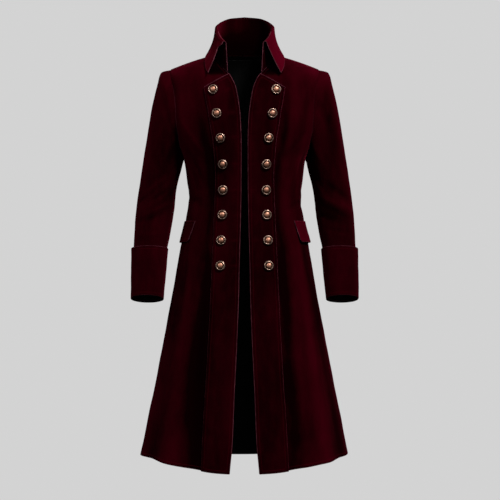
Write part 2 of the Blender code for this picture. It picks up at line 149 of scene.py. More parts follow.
# %% [markdown]
# ## Velvet
# Velvet is a pile: short upright threads, so thick that light falls between them. Looked at
# straight on it is nearly black, and where the pile turns away from the eye its tips catch the
# light. The sheen of the shader is that second effect. An attribute holds light and shade painted
# into the colour, and the pressed lines of pile: at 0 and above the colour runs from painted shade
# to painted light, and below 0 it sinks to a painted deep shadow. Noise along the cloth changes the
# lean of the pile, and the roughness, and the edges get a painted highlight with rubbed wear.
# A row of machine stitches runs beside the edges, where the attribute "edge" gives the distance.

# %% Velvet finish
STITCH_LINE = 0.0088  # metres from the edge
STITCH = 0.0032  # metres from stitch to stitch
# Velvet in painted shade and in painted light.
VELVET_SHADED, VELVET_LIT = (0.0026, 0.0001, 0.0002), (0.0560, 0.0004, 0.0050)
EDGE_WEAR_AND_SHEEN = (0.130, 0.036, 0.050)  # painted highlight where the pile bends over an edge, with rubbed wear
PAINTED_DEEP_SHADOW = (0.0005, 0.0000, 0.0001)  # painted deep shadow, as under the collar
DEEP_SHADOW_AT = -0.35  # value of the painted light attribute where the painted deep shadow is full
WEAR_AND_SHEEN_FROM, WEAR_AND_SHEEN_TO = 0.0013, 0.0002  # metres from the edge where the painted highlight and wear begin, and are full
# Share of the painted edge highlight and wear at the very edge.
WEAR_AND_SHEEN_SHARE = 0.62
GROOVE_SHARPNESS = 1100  # 1 / half width of the stitched groove in metres
THREAD_SHINE = 2.2  # how much lighter the thread is than lit pile


def velvet_finish(name, stitched):
    """Colour = painted shade to painted light, lean of the pile, painted edge highlight and wear. Bump =
    pile, crushed pile and stitches.
    """
    finish = Finish(name, Metallic=0.0, Sheen_Weight=0.06, Sheen_Roughness=0.38,
                    Sheen_Tint=(1.0, 0.05, 0.13, 1), Specular_IOR_Level=0.0)
    edge, nap = finish.attribute("edge"), finish.attribute("nap")
    leaning = finish.noise(finish.place((1, 1, 0.3)), 13, 3, 0.5)
    crushed = finish.noise(finish.place((1, 1, 0.4)), 70, 3, 0.5)
    lean = finish.ramp(leaning, 0.3, 0.72) * 0.7 + finish.ramp(crushed, 0.35, 0.8) * 0.3
    rubbed = finish.ramp(finish.noise(finish.place(), 60, 3), 0.3, 0.7, 0.45, 1.0)
    worn = finish.ramp(edge, WEAR_AND_SHEEN_TO, WEAR_AND_SHEEN_FROM, 1.0, 0.0) * rubbed
    pile = finish.noise(finish.cloth_place((1, 0.55, 1)), 1500, 2, 0.7)
    share = nap + (lean - 0.5) * 0.22 + (pile - 0.5) * 0.16
    # Painted light and shade: below 0 down to the painted deep shadow, above 0 from painted shade to
    # painted light; then the painted edge highlight with wear.
    closed = finish.mix(finish.ramp(nap, DEEP_SHADOW_AT, 0.0), PAINTED_DEEP_SHADOW, VELVET_SHADED)
    colour = finish.mix(share, closed, VELVET_LIT)
    colour = finish.mix(worn * WEAR_AND_SHEEN_SHARE, colour, EDGE_WEAR_AND_SHEEN)
    height = pile * 0.5 + crushed * 0.9
    if stitched:
        groove = 2.718 ** (((edge - STITCH_LINE) * GROOVE_SHARPNESS) ** 2 * -1)
        band = finish.ramp(edge, STITCH_LINE - 0.0006, STITCH_LINE + 0.0006, 1.0, 0.0)
        along = finish.node("ShaderNodeSeparateXYZ", {}, {"Vector": finish.cloth_place()}, "Y")
        thread = finish.node("ShaderNodeMath", {"operation": "PINGPONG"}, {0: along, 1: STITCH / 2})
        dot = groove * finish.ramp(thread, STITCH * 0.08, STITCH * 0.2)
        height = height + band * 0.6 - groove * 0.9 + dot * 0.8
        colour = finish.mix(dot * 0.12, colour, [v * THREAD_SHINE for v in VELVET_LIT])
    finish.feed("Base Color", colour)
    finish.feed("Roughness", finish.ramp(lean, 0.0, 1.0, 0.92, 0.74))
    finish.feed("Normal", finish.bump(height, 0.0006, 0.55))
    return finish.material


velvet = velvet_finish("burgundy_velvet", stitched=True)
velvet_plain = velvet_finish("burgundy_velvet_plain", stitched=False)
print("velvet:", len(velvet.node_tree.nodes), "nodes")

# %% [markdown]
# ## Lining
# The lining is black satin: smooth warp threads that float over the weft, so it has a long soft
# gloss across them. A fine twill in the bump and uneven roughness keep it from looking like paint.

# %% Lining finish
SATIN_DEEP, SATIN_LIT = (0.0009, 0.0009, 0.0009), (0.0022, 0.0021, 0.0021)


def lining_finish():
    """Colour = black with a warmer shade in slow noise. Bump = slanting weave lines and soft waves."""
    finish = Finish("black_satin", Specular_IOR_Level=0.10)
    slow = finish.noise(finish.place((1, 1, 0.4)), 14, 3)
    weave = finish.node("ShaderNodeTexWave", {"wave_type": "BANDS", "bands_direction": "DIAGONAL"},
                        {"Vector": finish.cloth_place(), "Scale": 420, "Distortion": 0.6})
    finish.feed("Base Color", finish.mix(slow, SATIN_DEEP, SATIN_LIT))
    finish.feed("Roughness", finish.ramp(slow, 0.3, 0.7, 0.42, 0.6))
    finish.feed("Normal", finish.bump(slow * 2 + weave * 0.25, 0.0008, 0.4))
    return finish.material


lining = lining_finish()

# %% [markdown]
# ## Brass
# The buttons are turned metal with a warm copper-coloured dome. Fingers keep the dome and the rim
# bright, and the grooves between them hold dark tarnish. The attribute "hollow" marks the grooves
# and "rim" the rim.

# %% Brass finish
COPPER, YELLOW_BRASS, TARNISH = (0.43, 0.205, 0.135), (0.42, 0.28, 0.22), (0.012, 0.006, 0.004)


def brass_finish():
    """Colour = copper dome or yellow rim, darker in the hollows and in patches of tarnish."""
    finish = Finish("old_brass", Metallic=1.0)
    hollow, rim = finish.attribute("hollow"), finish.attribute("rim")
    patches = finish.ramp(finish.noise(finish.place(), 240, 4, 0.6), 0.4, 0.75)
    scratches = finish.noise(finish.place((1, 1, 6)), 900, 3, 0.7)
    metal = finish.mix(rim, COPPER, YELLOW_BRASS)
    rough = finish.ramp(patches + hollow + scratches * 0.4, 0.0, 1.6, 0.48, 0.66)
    finish.feed("Base Color", finish.mix(patches * 0.3 + hollow, metal, TARNISH))
    finish.feed("Roughness", rough - rim * 0.14)
    finish.feed("Normal", finish.bump(scratches + patches, 0.00008, 0.5))
    return finish.material


brass = brass_finish()

# %% [markdown]
# ## Stage and light
# The coat hangs in an even pale grey studio, a floor that rises into a dome, so no horizon shows.
# Velvet needs dark round it: if the pale walls lit the coat from all sides, every fold would be
# filled. So the walls are seen by the camera alone, as if they were far away, and the light comes
# from lamps: a key high at the front right, as the bright right collar tells, a weak fill at the
# left, a weaker one in front, two behind that draw the edges, and one for the coat's back.

# %% Floor, world and lights
STUDIO_GREY = 0.652
WORLD_GREY = (0.035, 0.035, 0.037, 1)
FLOOR, FLOOR_RADIUS = -1.5, 5.0  # metres
CURVE, CURVE_RADIUS = -1.3, 8.0  # where the floor turns up into the dome
DOME_RADIUS = 9
DOME_STEPS, TURN_STEPS = 16, 49
bpy.context.scene.view_settings.view_transform = "Standard"  # as a camera's plain sRGB picture
world = bpy.data.worlds.new("studio")
world.use_nodes = True
world.node_tree.nodes["Background"].inputs["Color"].default_value = WORLD_GREY
bpy.context.scene.world = world


def studio():
    """Profile of a flat floor that turns up into a half sphere, carried once round the upright axis."""
    pale = Finish("studio_grey", Base_Color=(0, 0, 0, 1), Roughness=1.0, Specular_IOR_Level=0.0,
                  Emission_Color=(STUDIO_GREY,) * 3 + (1,), Emission_Strength=1.0)
    rise = np.radians(np.linspace(0, 90, DOME_STEPS))
    radius = np.concatenate([[0.0001, FLOOR_RADIUS, CURVE_RADIUS], DOME_RADIUS * np.cos(rise)])
    height = np.concatenate([[FLOOR, FLOOR, CURVE], DOME_RADIUS * np.sin(rise)])
    turn = np.linspace(0, 2 * np.pi, TURN_STEPS)
    points = np.stack([radius[:, None] * np.cos(turn), radius[:, None] * np.sin(turn),
                       np.repeat(height[:, None], TURN_STEPS, 1)], -1).reshape(-1, 3)
    index = np.arange(len(points)).reshape(-1, TURN_STEPS)
    faces = np.stack([index[:-1, :-1], index[1:, :-1], index[1:, 1:], index[:-1, 1:]], -1)
    mesh = bpy.data.meshes.new("studio")
    mesh.from_pydata(points, [], faces.reshape(-1, 4).tolist())
    mesh.materials.append(pale.material)
    walls = bpy.data.objects.new("studio", mesh)
    walls.visible_diffuse = walls.visible_glossy = False
    walls.visible_transmission = walls.visible_shadow = False
    bpy.context.scene.collection.objects.link(walls)


studio()

# Name, place, point that it faces, size in metres and power in watts.
LIGHTS = [
    ("key", (1.9, -2.6, 3.1), (0, 0, -0.45), 0.8, 300),
    ("fill", (-2.6, -2.6, 1.6), (0, 0, -0.5), 1.4, 60),
    ("front", (0.8, -4.8, 0.2), (0, 0, -0.7), 2.2, 16),
    ("edge_right", (2.4, 1.8, 1.2), (0.1, 0, -0.4), 1.0, 60),
    ("edge_left", (-2.4, 1.8, 1.2), (-0.1, 0, -0.4), 1.0, 50),
    ("back", (0.9, 3.4, 1.3), (0, 0, -0.5), 1.2, 110),
]


def area_light(name, place, target, size, power):
    """Square soft light that faces the target."""
    light = bpy.data.objects.new(name, bpy.data.lights.new(name, "AREA"))
    light.data.size, light.data.energy = size, power
    light.location = place
    x, y, z = np.subtract(target, place)
    rise = math.atan2(z, math.hypot(x, y))
    light.rotation_euler = (math.pi / 2 + rise, 0, math.atan2(-x, y))
    bpy.context.scene.collection.objects.link(light)


for row in LIGHTS:
    area_light(*row)
print("stage and", len(bpy.data.lights), "lights")

# %% [markdown]
# ## The body of the coat
# A tailor shapes cloth flat, and the seams make it round. Here the round shape comes first: at each
# height the coat's cross-section is a rounded box that follows the chest, waist and skirt, and the
# pieces are cut out of it. These are the same sizes as in the solids. Long tables are written in
# millimetres, because they are easier to read so.

# %% Sizes of the body
CLOTH, PANEL, FLAP, GAP = 0.0025, 0.0028, 0.0022, 0.0003  # walls, and the space between two pieces
SQUARENESS = 2.5  # 2 is an ellipse, more is boxier
ARM_TOP, ARM_BOTTOM = -0.0345, -0.278
ARM_MIDDLE, ARM_HALF = (ARM_TOP + ARM_BOTTOM) / 2, (ARM_TOP - ARM_BOTTOM) / 2
ARM_FRONT, ARM_BACK = 0.070, 0.062
WAIST, SIDE_HEM, FRONT_HEM, BACK_HEM = -0.386, -1.069, -1.097, -1.101
LAPEL, NECK_POINT = -0.0575, 0.010
HEM_CURVE = 4.2  # how late the hem drops from the side to the middle of front and back
NECK_RISE = 0.006  # how much higher the back stands at the neck
# What differs between the two sides, since cloth never hangs or wears twice the same and the key
# lamp is on the wearer's left: phases of the slow waves and of the flap's curl, painted light on
# sleeve and flap, pressed pile beside the buttons, and metres added to a distance from an edge or
# seam, which weaken the painted edge highlight.
SIDES = {
    "left": {"body": 1.0, "sleeve": 4.0, "cuff": 7.0, "curl": 0, "sleeve_nap": 0.19, "flap_nap": 0.66,
             "pressed": 0.06, "seam": 0.0007, "flap_fresh": 0.0002},
    "right": {"body": 2.3, "sleeve": 5.5, "cuff": 8.2, "curl": 2, "sleeve_nap": 0.22, "flap_nap": 0.18,
              "pressed": 0.12, "seam": 0.0004, "flap_fresh": 0.0006},
}
BODY_COLUMNS = ("z", "width", "front", "back")
# Height, half width, depth to the front and to the back.
BODY = np.array([
    (12, 78, 4, 75), (0, 106, 40, 88), (-8, 131, 52, 93), (-19, 162, 66, 100),
    (-29, 187, 78.5, 104), (-34.5, 200, 86, 106), (-58, 205, 111, 112), (-80, 205, 119, 116),
    (-120, 204, 125, 120), (-164, 202, 128, 122), (-200, 196, 128, 122), (-214.5, 191, 127.5, 121),
    (-245, 179.5, 125.5, 117), (-278, 164, 122, 112), (-300, 160, 119, 108), (-343, 155, 113, 100),
    (-364.5, 152, 111, 98), (-386, 152, 110, 97), (-408, 154, 110.5, 99), (-429, 158, 112, 102),
    (-451, 161, 113.5, 107), (-494, 170, 118, 118), (-537, 177.5, 123, 127),
    (-580.5, 184.5, 128, 135), (-624, 192, 134, 141), (-710, 207.5, 148, 152),
    (-796.5, 223.5, 161, 163), (-883, 239.5, 173, 174), (-969, 257, 186, 185),
    (-1012.5, 265, 192, 192), (-1069, 276.5, 200, 200),
]) / 1000
# Height and distance from the middle: open edge of a front, free edge of its panel, neck seam.
FRONT_EDGE = np.array([
    (-57.5, 40), (-74.6, 30.2), (-87.7, 24.2), (-125.8, 16), (-174.4, 10.2), (-242.6, 8),
    (-337.2, 8.3), (-458, 10.5), (-578.6, 13.8), (-617.6, 14.4), (-744.2, 19.2), (-872.4, 25.6),
    (-999.4, 31), (-1045.4, 35.5), (-1097, 40.5),
]) / 1000
PANEL_EDGE = np.array([
    (-57.5, 106.5), (-94.3, 102.4), (-182.2, 91.9), (-242.6, 82.2), (-303, 77.5), (-329.3, 76.5),
    (-416, 79.6), (-513.1, 84), (-609.8, 88.3), (-841.6, 100.8), (-956.2, 109.2), (-1097, 117),
]) / 1000
NECK = np.array([
    (-58, 40), (-30, 62), (-8, 74.5), (12, 78),
]) / 1000
# Deep folds of the skirt: angle at the waist and at the hem, height, width in degrees, and how far
# below the waist each one starts.
FOLDS = {
    "left": [(32, 24, -0.006, 6, 0.06), (40, 33, 0.004, 6, 0.12), (57, 46, 0.010, 8, 0.05),
             (72, 66, -0.006, 8, 0.10), (91, 90, 0.003, 9, 0.12), (108, 112, -0.006, 9, 0.06),
             (124, 131, 0.010, 9, 0.05), (146, 151, -0.007, 9, 0.10), (164, 168, 0.006, 7, 0.06)],
    "right": [(32, 23, -0.008, 7, 0.05), (50, 42, 0.008, 9, 0.06), (66, 62, -0.005, 8, 0.12),
              (80, 79, 0.006, 8, 0.08), (98, 99, -0.005, 8, 0.10), (113, 118, 0.009, 9, 0.05),
              (131, 138, -0.007, 9, 0.08), (150, 156, 0.009, 8, 0.07), (168, 171, -0.004, 6, 0.10)],
}

# %% [markdown]
# ## Creases
# Cloth that is worn keeps small creases: drag lines that run from the armpit, short folds where the
# waist bends, long soft flutes in the skirt. Each one here is a soft ridge (height above 0) or
# trough (below 0) that fades at both ends. They are listed one by one, uneven in length, width and
# height, because evenly spaced ones would look pressed.

# %% Creases of the body
SLOW_WAVE, QUICK_WAVE = 0.0005, 0.00025  # metres
STROKE_UNITS = np.array([1, 1000, 1, 1000, 1000, 1000])  # what a row is divided by
# Degrees from the middle of the front, height, lean from upright in degrees, half length, half
# width and height of the crease. Lengths are in millimetres.
CREASES = {
    "left": [
        (46, -235, 38, 55, 9, -1.4), (55, -300, 28, 60, 9, 1.6), (60, -330, 18, 60, 8, -1.6),
        (72, -325, -8, 50, 8, 1.2), (40, -150, 25, 60, 15, 1.4), (66, -392, 78, 42, 7, -1.8),
        (78, -372, 98, 36, 7, 1.3), (50, -408, 70, 30, 6, -1.2), (86, -402, 84, 40, 7, -1.4),
        (41, -640, 6, 110, 11, 1.5), (60, -560, -4, 70, 11, -2), (78, -620, 3, 130, 13, 1.8),
        (52, -860, 3, 100, 10, -1.4), (70, -900, -2, 140, 14, 1.6), (37, -960, 2, 80, 9, -1.2),
        (100, -240, 20, 60, 12, -1.6), (118, -330, -32, 65, 10, -1.8),
        (132, -392, 82, 50, 8, -1.8), (148, -300, -18, 80, 12, 1.6), (157, -376, 97, 42, 8, 1.4),
        (166, -220, 8, 80, 12, -1.4), (112, -110, -30, 50, 12, 1.4), (140, -640, 2, 120, 13, 1.8),
        (158, -600, -1, 100, 11, -1.8), (119, -860, -3, 140, 13, -1.6),
        (144, -920, 2, 110, 11, 1.6), (104, -720, 4, 110, 12, 1.4),
    ],
    "right": [
        (44, -225, 34, 60, 10, 1.3), (52, -285, 30, 65, 9, -1.7), (62, -318, 20, 55, 8, 1.5),
        (70, -345, 6, 45, 8, -1.3), (38, -135, 20, 65, 16, 1.2), (60, -386, 82, 45, 7, -1.7),
        (74, -400, 74, 34, 6, 1.2), (84, -378, 94, 42, 8, -1.5), (46, -402, 80, 28, 6, -1),
        (56, -600, 4, 110, 12, -1.8), (36, -700, -3, 110, 10, 1.5), (71, -680, 2, 120, 13, 1.7),
        (49, -920, -4, 100, 11, -1.4), (66, -860, 3, 130, 13, 1.4), (31, -880, 2, 90, 9, -1.4),
        (102, -260, 16, 60, 11, 1.4), (122, -310, -28, 70, 11, -1.9), (128, -382, 86, 46, 8, 1.4),
        (146, -396, 80, 50, 8, -1.8), (152, -270, -14, 85, 13, -1.5), (164, -340, 12, 60, 10, 1.3),
        (116, -140, -26, 55, 12, -1.3), (136, -560, -2, 100, 12, 1.8),
        (160, -680, 2, 120, 12, -1.7), (112, -820, 3, 130, 13, 1.5),
        (148, -860, -2, 120, 12, -1.4), (96, -650, -3, 100, 12, -1.4),
    ],
}


def creases(rows, across, along, size, wrap=False):
    """Sum of height * exp(-(sideways / width)^2 - (lengthways / length)^2), each turned by its lean."""
    total = np.zeros(np.broadcast(across, along).shape)
    for angle, middle, lean, length, width, height in np.array(rows) / STROKE_UNITS:
        away = across - angle
        away = (away + 180) % 360 - 180 if wrap else away
        sideways, upright = np.radians(away) * size, along - middle
        slant = math.radians(lean)
        run = upright * math.cos(slant) + sideways * math.sin(slant)
        side = sideways * math.cos(slant) - upright * math.sin(slant)
        total += height * np.exp(-((side / width) ** 2) - (run / length) ** 2)
    return total


def unevenness(across, along, phase):
    """Slow waves under a millimetre: cloth is never quite even."""
    slow = np.sin(across / 11 + 31 * along + phase) * np.sin(across / 23 - 17 * along + 2 * phase)
    quick = np.sin(across / 5 - 58 * along + 3 * phase) * np.sin(across / 9 + 47 * along)
    return SLOW_WAVE * slow + QUICK_WAVE * quick


print("creases:", {side: len(rows) for side, rows in CREASES.items()})

# %% [markdown]
# ## Painted light and shade on the velvet
# These rows paint light and shade into the velvet's colour: lighter on the ridges and where the
# lamps fall, nearly black in the troughs and under the arms, where shade falls. They use the same
# soft strokes as the creases, painted light above 0 and painted shade below.

# %% Painted light and shade on the body
# Degrees, height, lean of the stroke, half length, half width, and painted light or shade in
# thousandths.
PAINTED_LIGHT_BODY = {
    "left": [
        (50, -160, 6, 90, 26, -110), (31, -80, 10, 50, 22, 40), (70, -20, 60, 60, 30, 340),
        (60, -290, -8, 100, 14, 220), (80, -330, 0, 120, 26, -260), (28, -280, 0, 220, 14, -200),
        (84, -170, 5, 70, 14, -180), (48, -760, 3, 200, 18, 200), (51, -560, 6, 120, 18, 60),
        (27, -720, 2, 300, 18, -200), (74, -780, -4, 300, 34, -200), (40, -1000, 2, 100, 40, -60),
        (33, -820, 1, 160, 12, 80),
    ],
    "right": [
        (50, -150, 4, 90, 26, 260), (86, -200, 6, 85, 20, -280), (34, -90, 8, 50, 20, 20),
        (72, -20, 60, 60, 30, 240), (60, -300, -6, 110, 20, 40), (82, -330, 0, 120, 28, -240),
        (29, -310, 0, 150, 18, -260), (45, -780, 3, 240, 20, 60), (50, -560, 6, 120, 22, 40),
        (25, -740, 2, 320, 19, -260), (34, -740, 2, 320, 26, -80), (76, -760, -4, 300, 36, -100),
        (40, -1000, 2, 100, 40, -40), (60, -880, 0, 140, 14, 40),
    ],
}


# %% [markdown]
# ## Curves through a table, and points on the body
# The tables hold few rows, so that they stay readable. A monotone cubic runs through them without
# overshooting, which matters at the waist, where a plain spline would add a bulge.

# %% Surface of the body
BODY_RADIUS, SLEEVE_RADIUS = 0.17, 0.062  # turn degrees into metres along the cloth
LIGHT_OF_RELIEF, LIGHT_OF_SLEEVE = 26, 31  # painted light a metre of relief adds on ridges, and shade in troughs
CREASE_RELIEF = 1.6  # a crease gets more painted light and shade than a deep fold as high
CALM_FRONT, CALM_BACK, CALM_DEGREES = 4, 177, 8  # creases fade towards both seams
CALM_NECK, CALM_METRES = NECK_POINT - 0.004, 0.03  # and towards the neck


def clipped(value, none, full):
    """0 at none and 1 at full, in a straight line between them."""
    return np.clip((value - none) / (full - none), 0, 1)


def eased(value, none, full):
    """0 at none and 1 at full, with a soft start and end."""
    share = clipped(value, none, full)
    return share * share * (3 - 2 * share)


def smooth(x, y, at):
    """Monotone cubic through the points: Hermite pieces whose slopes are harmonic means."""
    x, y = (x[::-1], y[::-1]) if x[0] > x[-1] else (x, y)
    step = np.diff(y) / np.diff(x)
    slope = np.concatenate([step[:1], np.zeros(len(x) - 2), step[-1:]])
    same = step[1:] * step[:-1] > 0
    slope[1:-1][same] = 2 * (step[1:] * step[:-1])[same] / (step[1:] + step[:-1])[same]
    at = np.clip(at, x[0], x[-1])
    i = np.clip(np.searchsorted(x, at) - 1, 0, len(x) - 2)
    h = x[i + 1] - x[i]
    t = (at - x[i]) / h
    return ((1 + 2 * t) * (1 - t) ** 2 * y[i] + t * (1 - t) ** 2 * h * slope[i]
            + t**2 * (3 - 2 * t) * y[i + 1] + t**2 * (t - 1) * h * slope[i + 1])


def body_size(column, z):
    return smooth(BODY[:, 0], BODY[:, BODY_COLUMNS.index(column)], z)


def unit(vectors):
    return vectors / (np.linalg.norm(vectors, axis=-1, keepdims=True) + 1e-12)


def deep_folds(angle, z, side):
    """Sum of height * growth * exp(-((angle - centre) / width)^2), centre moving from waist to hem."""
    below = clipped(z, WAIST, SIDE_HEM)
    out = np.zeros(np.broadcast(angle, z).shape)
    for waist_angle, hem_angle, height, width, start in FOLDS[side]:
        centre = waist_angle + (hem_angle - waist_angle) * below
        growth = clipped(z, WAIST - start, SIDE_HEM) ** 1.2
        out += height * growth * np.exp(-(((np.degrees(angle) - centre) / width) ** 2))
    return out


def body(angle, z, side):
    """Point of the rounded box |x/w|^n + |y/d|^n = 1 at each height, with the deep folds added."""
    sine, cosine = np.sin(angle), np.cos(angle)
    depth = np.where(cosine > 0, body_size("front", z), body_size("back", z))
    x = np.sign(sine) * body_size("width", z) * np.abs(sine) ** (2 / SQUARENESS)
    y = -np.sign(cosine) * depth * np.abs(cosine) ** (2 / SQUARENESS)
    out = deep_folds(angle, z, side)
    length = np.hypot(x, y) + 1e-9
    middle_hem = np.where(cosine > 0, FRONT_HEM, BACK_HEM)
    hem = SIDE_HEM + (middle_hem - SIDE_HEM) * np.abs(cosine) ** HEM_CURVE
    level = np.where(z < WAIST, WAIST + (z - WAIST) * (hem - WAIST) / (SIDE_HEM - WAIST), z)
    rise = NECK_RISE * np.clip((z + 0.03) / 0.04, 0, 1) * np.clip(-cosine, 0, 1)
    return np.stack([x + out * x / length, y + out * y / length, level + rise], -1)


def body_normal(angle, z, side):
    """Cross product of the surface's two central differences."""
    around = body(angle + 2e-3, z, side) - body(angle - 2e-3, z, side)
    up = body(angle, z + 1e-3, side) - body(angle, z - 1e-3, side)
    return unit(np.cross(around, up))


def cloth_on_body(angle, z, side):
    """The creased body, the direction square to the plain one, and its painted light and shade."""
    turn = np.degrees(angle)
    height = creases(CREASES[side], turn, z, BODY_RADIUS) + unevenness(turn, z, SIDES[side]["body"])
    # No crease where the two fronts end, at the neck, or where both backs meet.
    calm = np.clip(np.minimum(turn - CALM_FRONT, CALM_BACK - turn) / CALM_DEGREES, 0, 1)
    calm = calm * np.clip((CALM_NECK - z) / CALM_METRES, 0, 1)
    normal = body_normal(angle, z, side)
    relief = deep_folds(angle, z, side) + CREASE_RELIEF * height * calm
    # Painted light on ridges and where the lamps fall, painted shade in troughs and under the arms.
    nap = creases(PAINTED_LIGHT_BODY[side], turn, z, BODY_RADIUS) + LIGHT_OF_RELIEF * relief
    return body(angle, z, side) + (height * calm)[..., None] * normal, normal, nap


def angle_of_depth(y, z):
    depth = np.where(y < 0, body_size("front", z), body_size("back", z))
    return np.arccos(np.clip(-np.sign(y) * (np.abs(y) / depth) ** (SQUARENESS / 2), -1, 1))


def angle_of_width(x, z):
    return np.arcsin(np.clip(x / body_size("width", z), 0, 1) ** (SQUARENESS / 2))


def back_seam(z):
    """Angle of the centre back seam, half a gap from the middle."""
    return np.pi - (GAP / 2 / body_size("width", z)) ** (SQUARENESS / 2)


def mirrored(points, side):
    return points * (np.array([-1, 1, 1]) if side == "right" else 1)


# %% [markdown]
# ## From a grid to a sheet of cloth
# Cloth has a thickness and no sharp edge, because it is turned in and pressed. So each grid becomes
# a closed sheet: an outer face, an inner face a wall's thickness away, and half a turn of rounded
# rim between them. The same step writes the cloth's own coordinates in metres and two attributes,
# the distance to the nearest edge and the light and shade painted into the velvet's colour.

# %% Sheets
SHEETS = {}  # width, length and area of each sheet
RING_REACH = 0.0018  # how far a sewn ring reaches into its neighbour
SEAM_REACH, SEAM_SINK = 0.0005, 0.0007  # the same for a flat seam, and how deep it sinks


def arc(points, axis):
    """Length along the grid from its first row or column."""
    step = np.linalg.norm(np.diff(points, axis=axis), axis=-1)
    return np.concatenate([np.zeros_like(np.take(step, [0], axis)), np.cumsum(step, axis)], axis)


def quads(index):
    return np.stack([index[:-1, :-1], index[:-1, 1:], index[1:, 1:], index[1:, :-1]], -1).reshape(-1, 4)


def border_line(table):
    """The border of a table, once round and back to its first corner."""
    return np.concatenate([table[0], table[1:, -1], table[-1, -2::-1], table[-2::-1, 0]])


def add_mesh(name, points, faces, finishes, face_finish, uv, values, node):
    """Mesh object with its faces turned outwards, riding on the coat's body in place of a solid."""
    a, b, c, d = (points[faces[:, k]] for k in range(4))
    if (np.cross(b - a, c - a) * a).sum() + (np.cross(c - a, d - a) * a).sum() < 0:
        faces, uv = faces[:, ::-1], uv[:, ::-1]
    mesh = bpy.data.meshes.new(name)
    mesh.from_pydata(points, [], faces.tolist())
    layer = mesh.uv_layers.new(name="cloth")
    layer.data.foreach_set("uv", np.ascontiguousarray(uv, np.float32).ravel())
    for key, value in values.items():
        made = mesh.attributes.new(key, "FLOAT", "POINT")
        made.data.foreach_set("value", np.ascontiguousarray(value, np.float32).ravel())
    for finish in finishes:
        mesh.materials.append(finish)
    mesh.polygons.foreach_set("material_index", np.asarray(face_finish, np.int32))
    mesh.shade_smooth()
    mesh.update()
    piece = bpy.data.objects.new(name, mesh)
    bpy.context.scene.collection.objects.link(piece)
    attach(piece, "root")
    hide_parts(node)
    return piece


def turned(grid, border):
    """A view of the grid with this border as its first row. Turned once more, it is as it was."""
    flipped = grid[::-1, ::-1].swapaxes(0, 1)
    return {"first": grid, "last": grid[::-1], "start": grid.swapaxes(0, 1), "end": flipped}[border]


def with_border(grid, borders, distance):
    """A row or column more beside each border, this far from it, so that edges turn tightly."""
    for border in borders:
        rows = turned(grid, border)
        step = rows[1] - rows[0]
        long = np.linalg.norm(step[..., :3], axis=-1, keepdims=True) + 1e-9
        share = np.clip(distance / long, 0.05, 0.5)
        grid = turned(np.concatenate([rows[:1], rows[:1] + step[None] * share, rows[1:]]), border)
    return grid


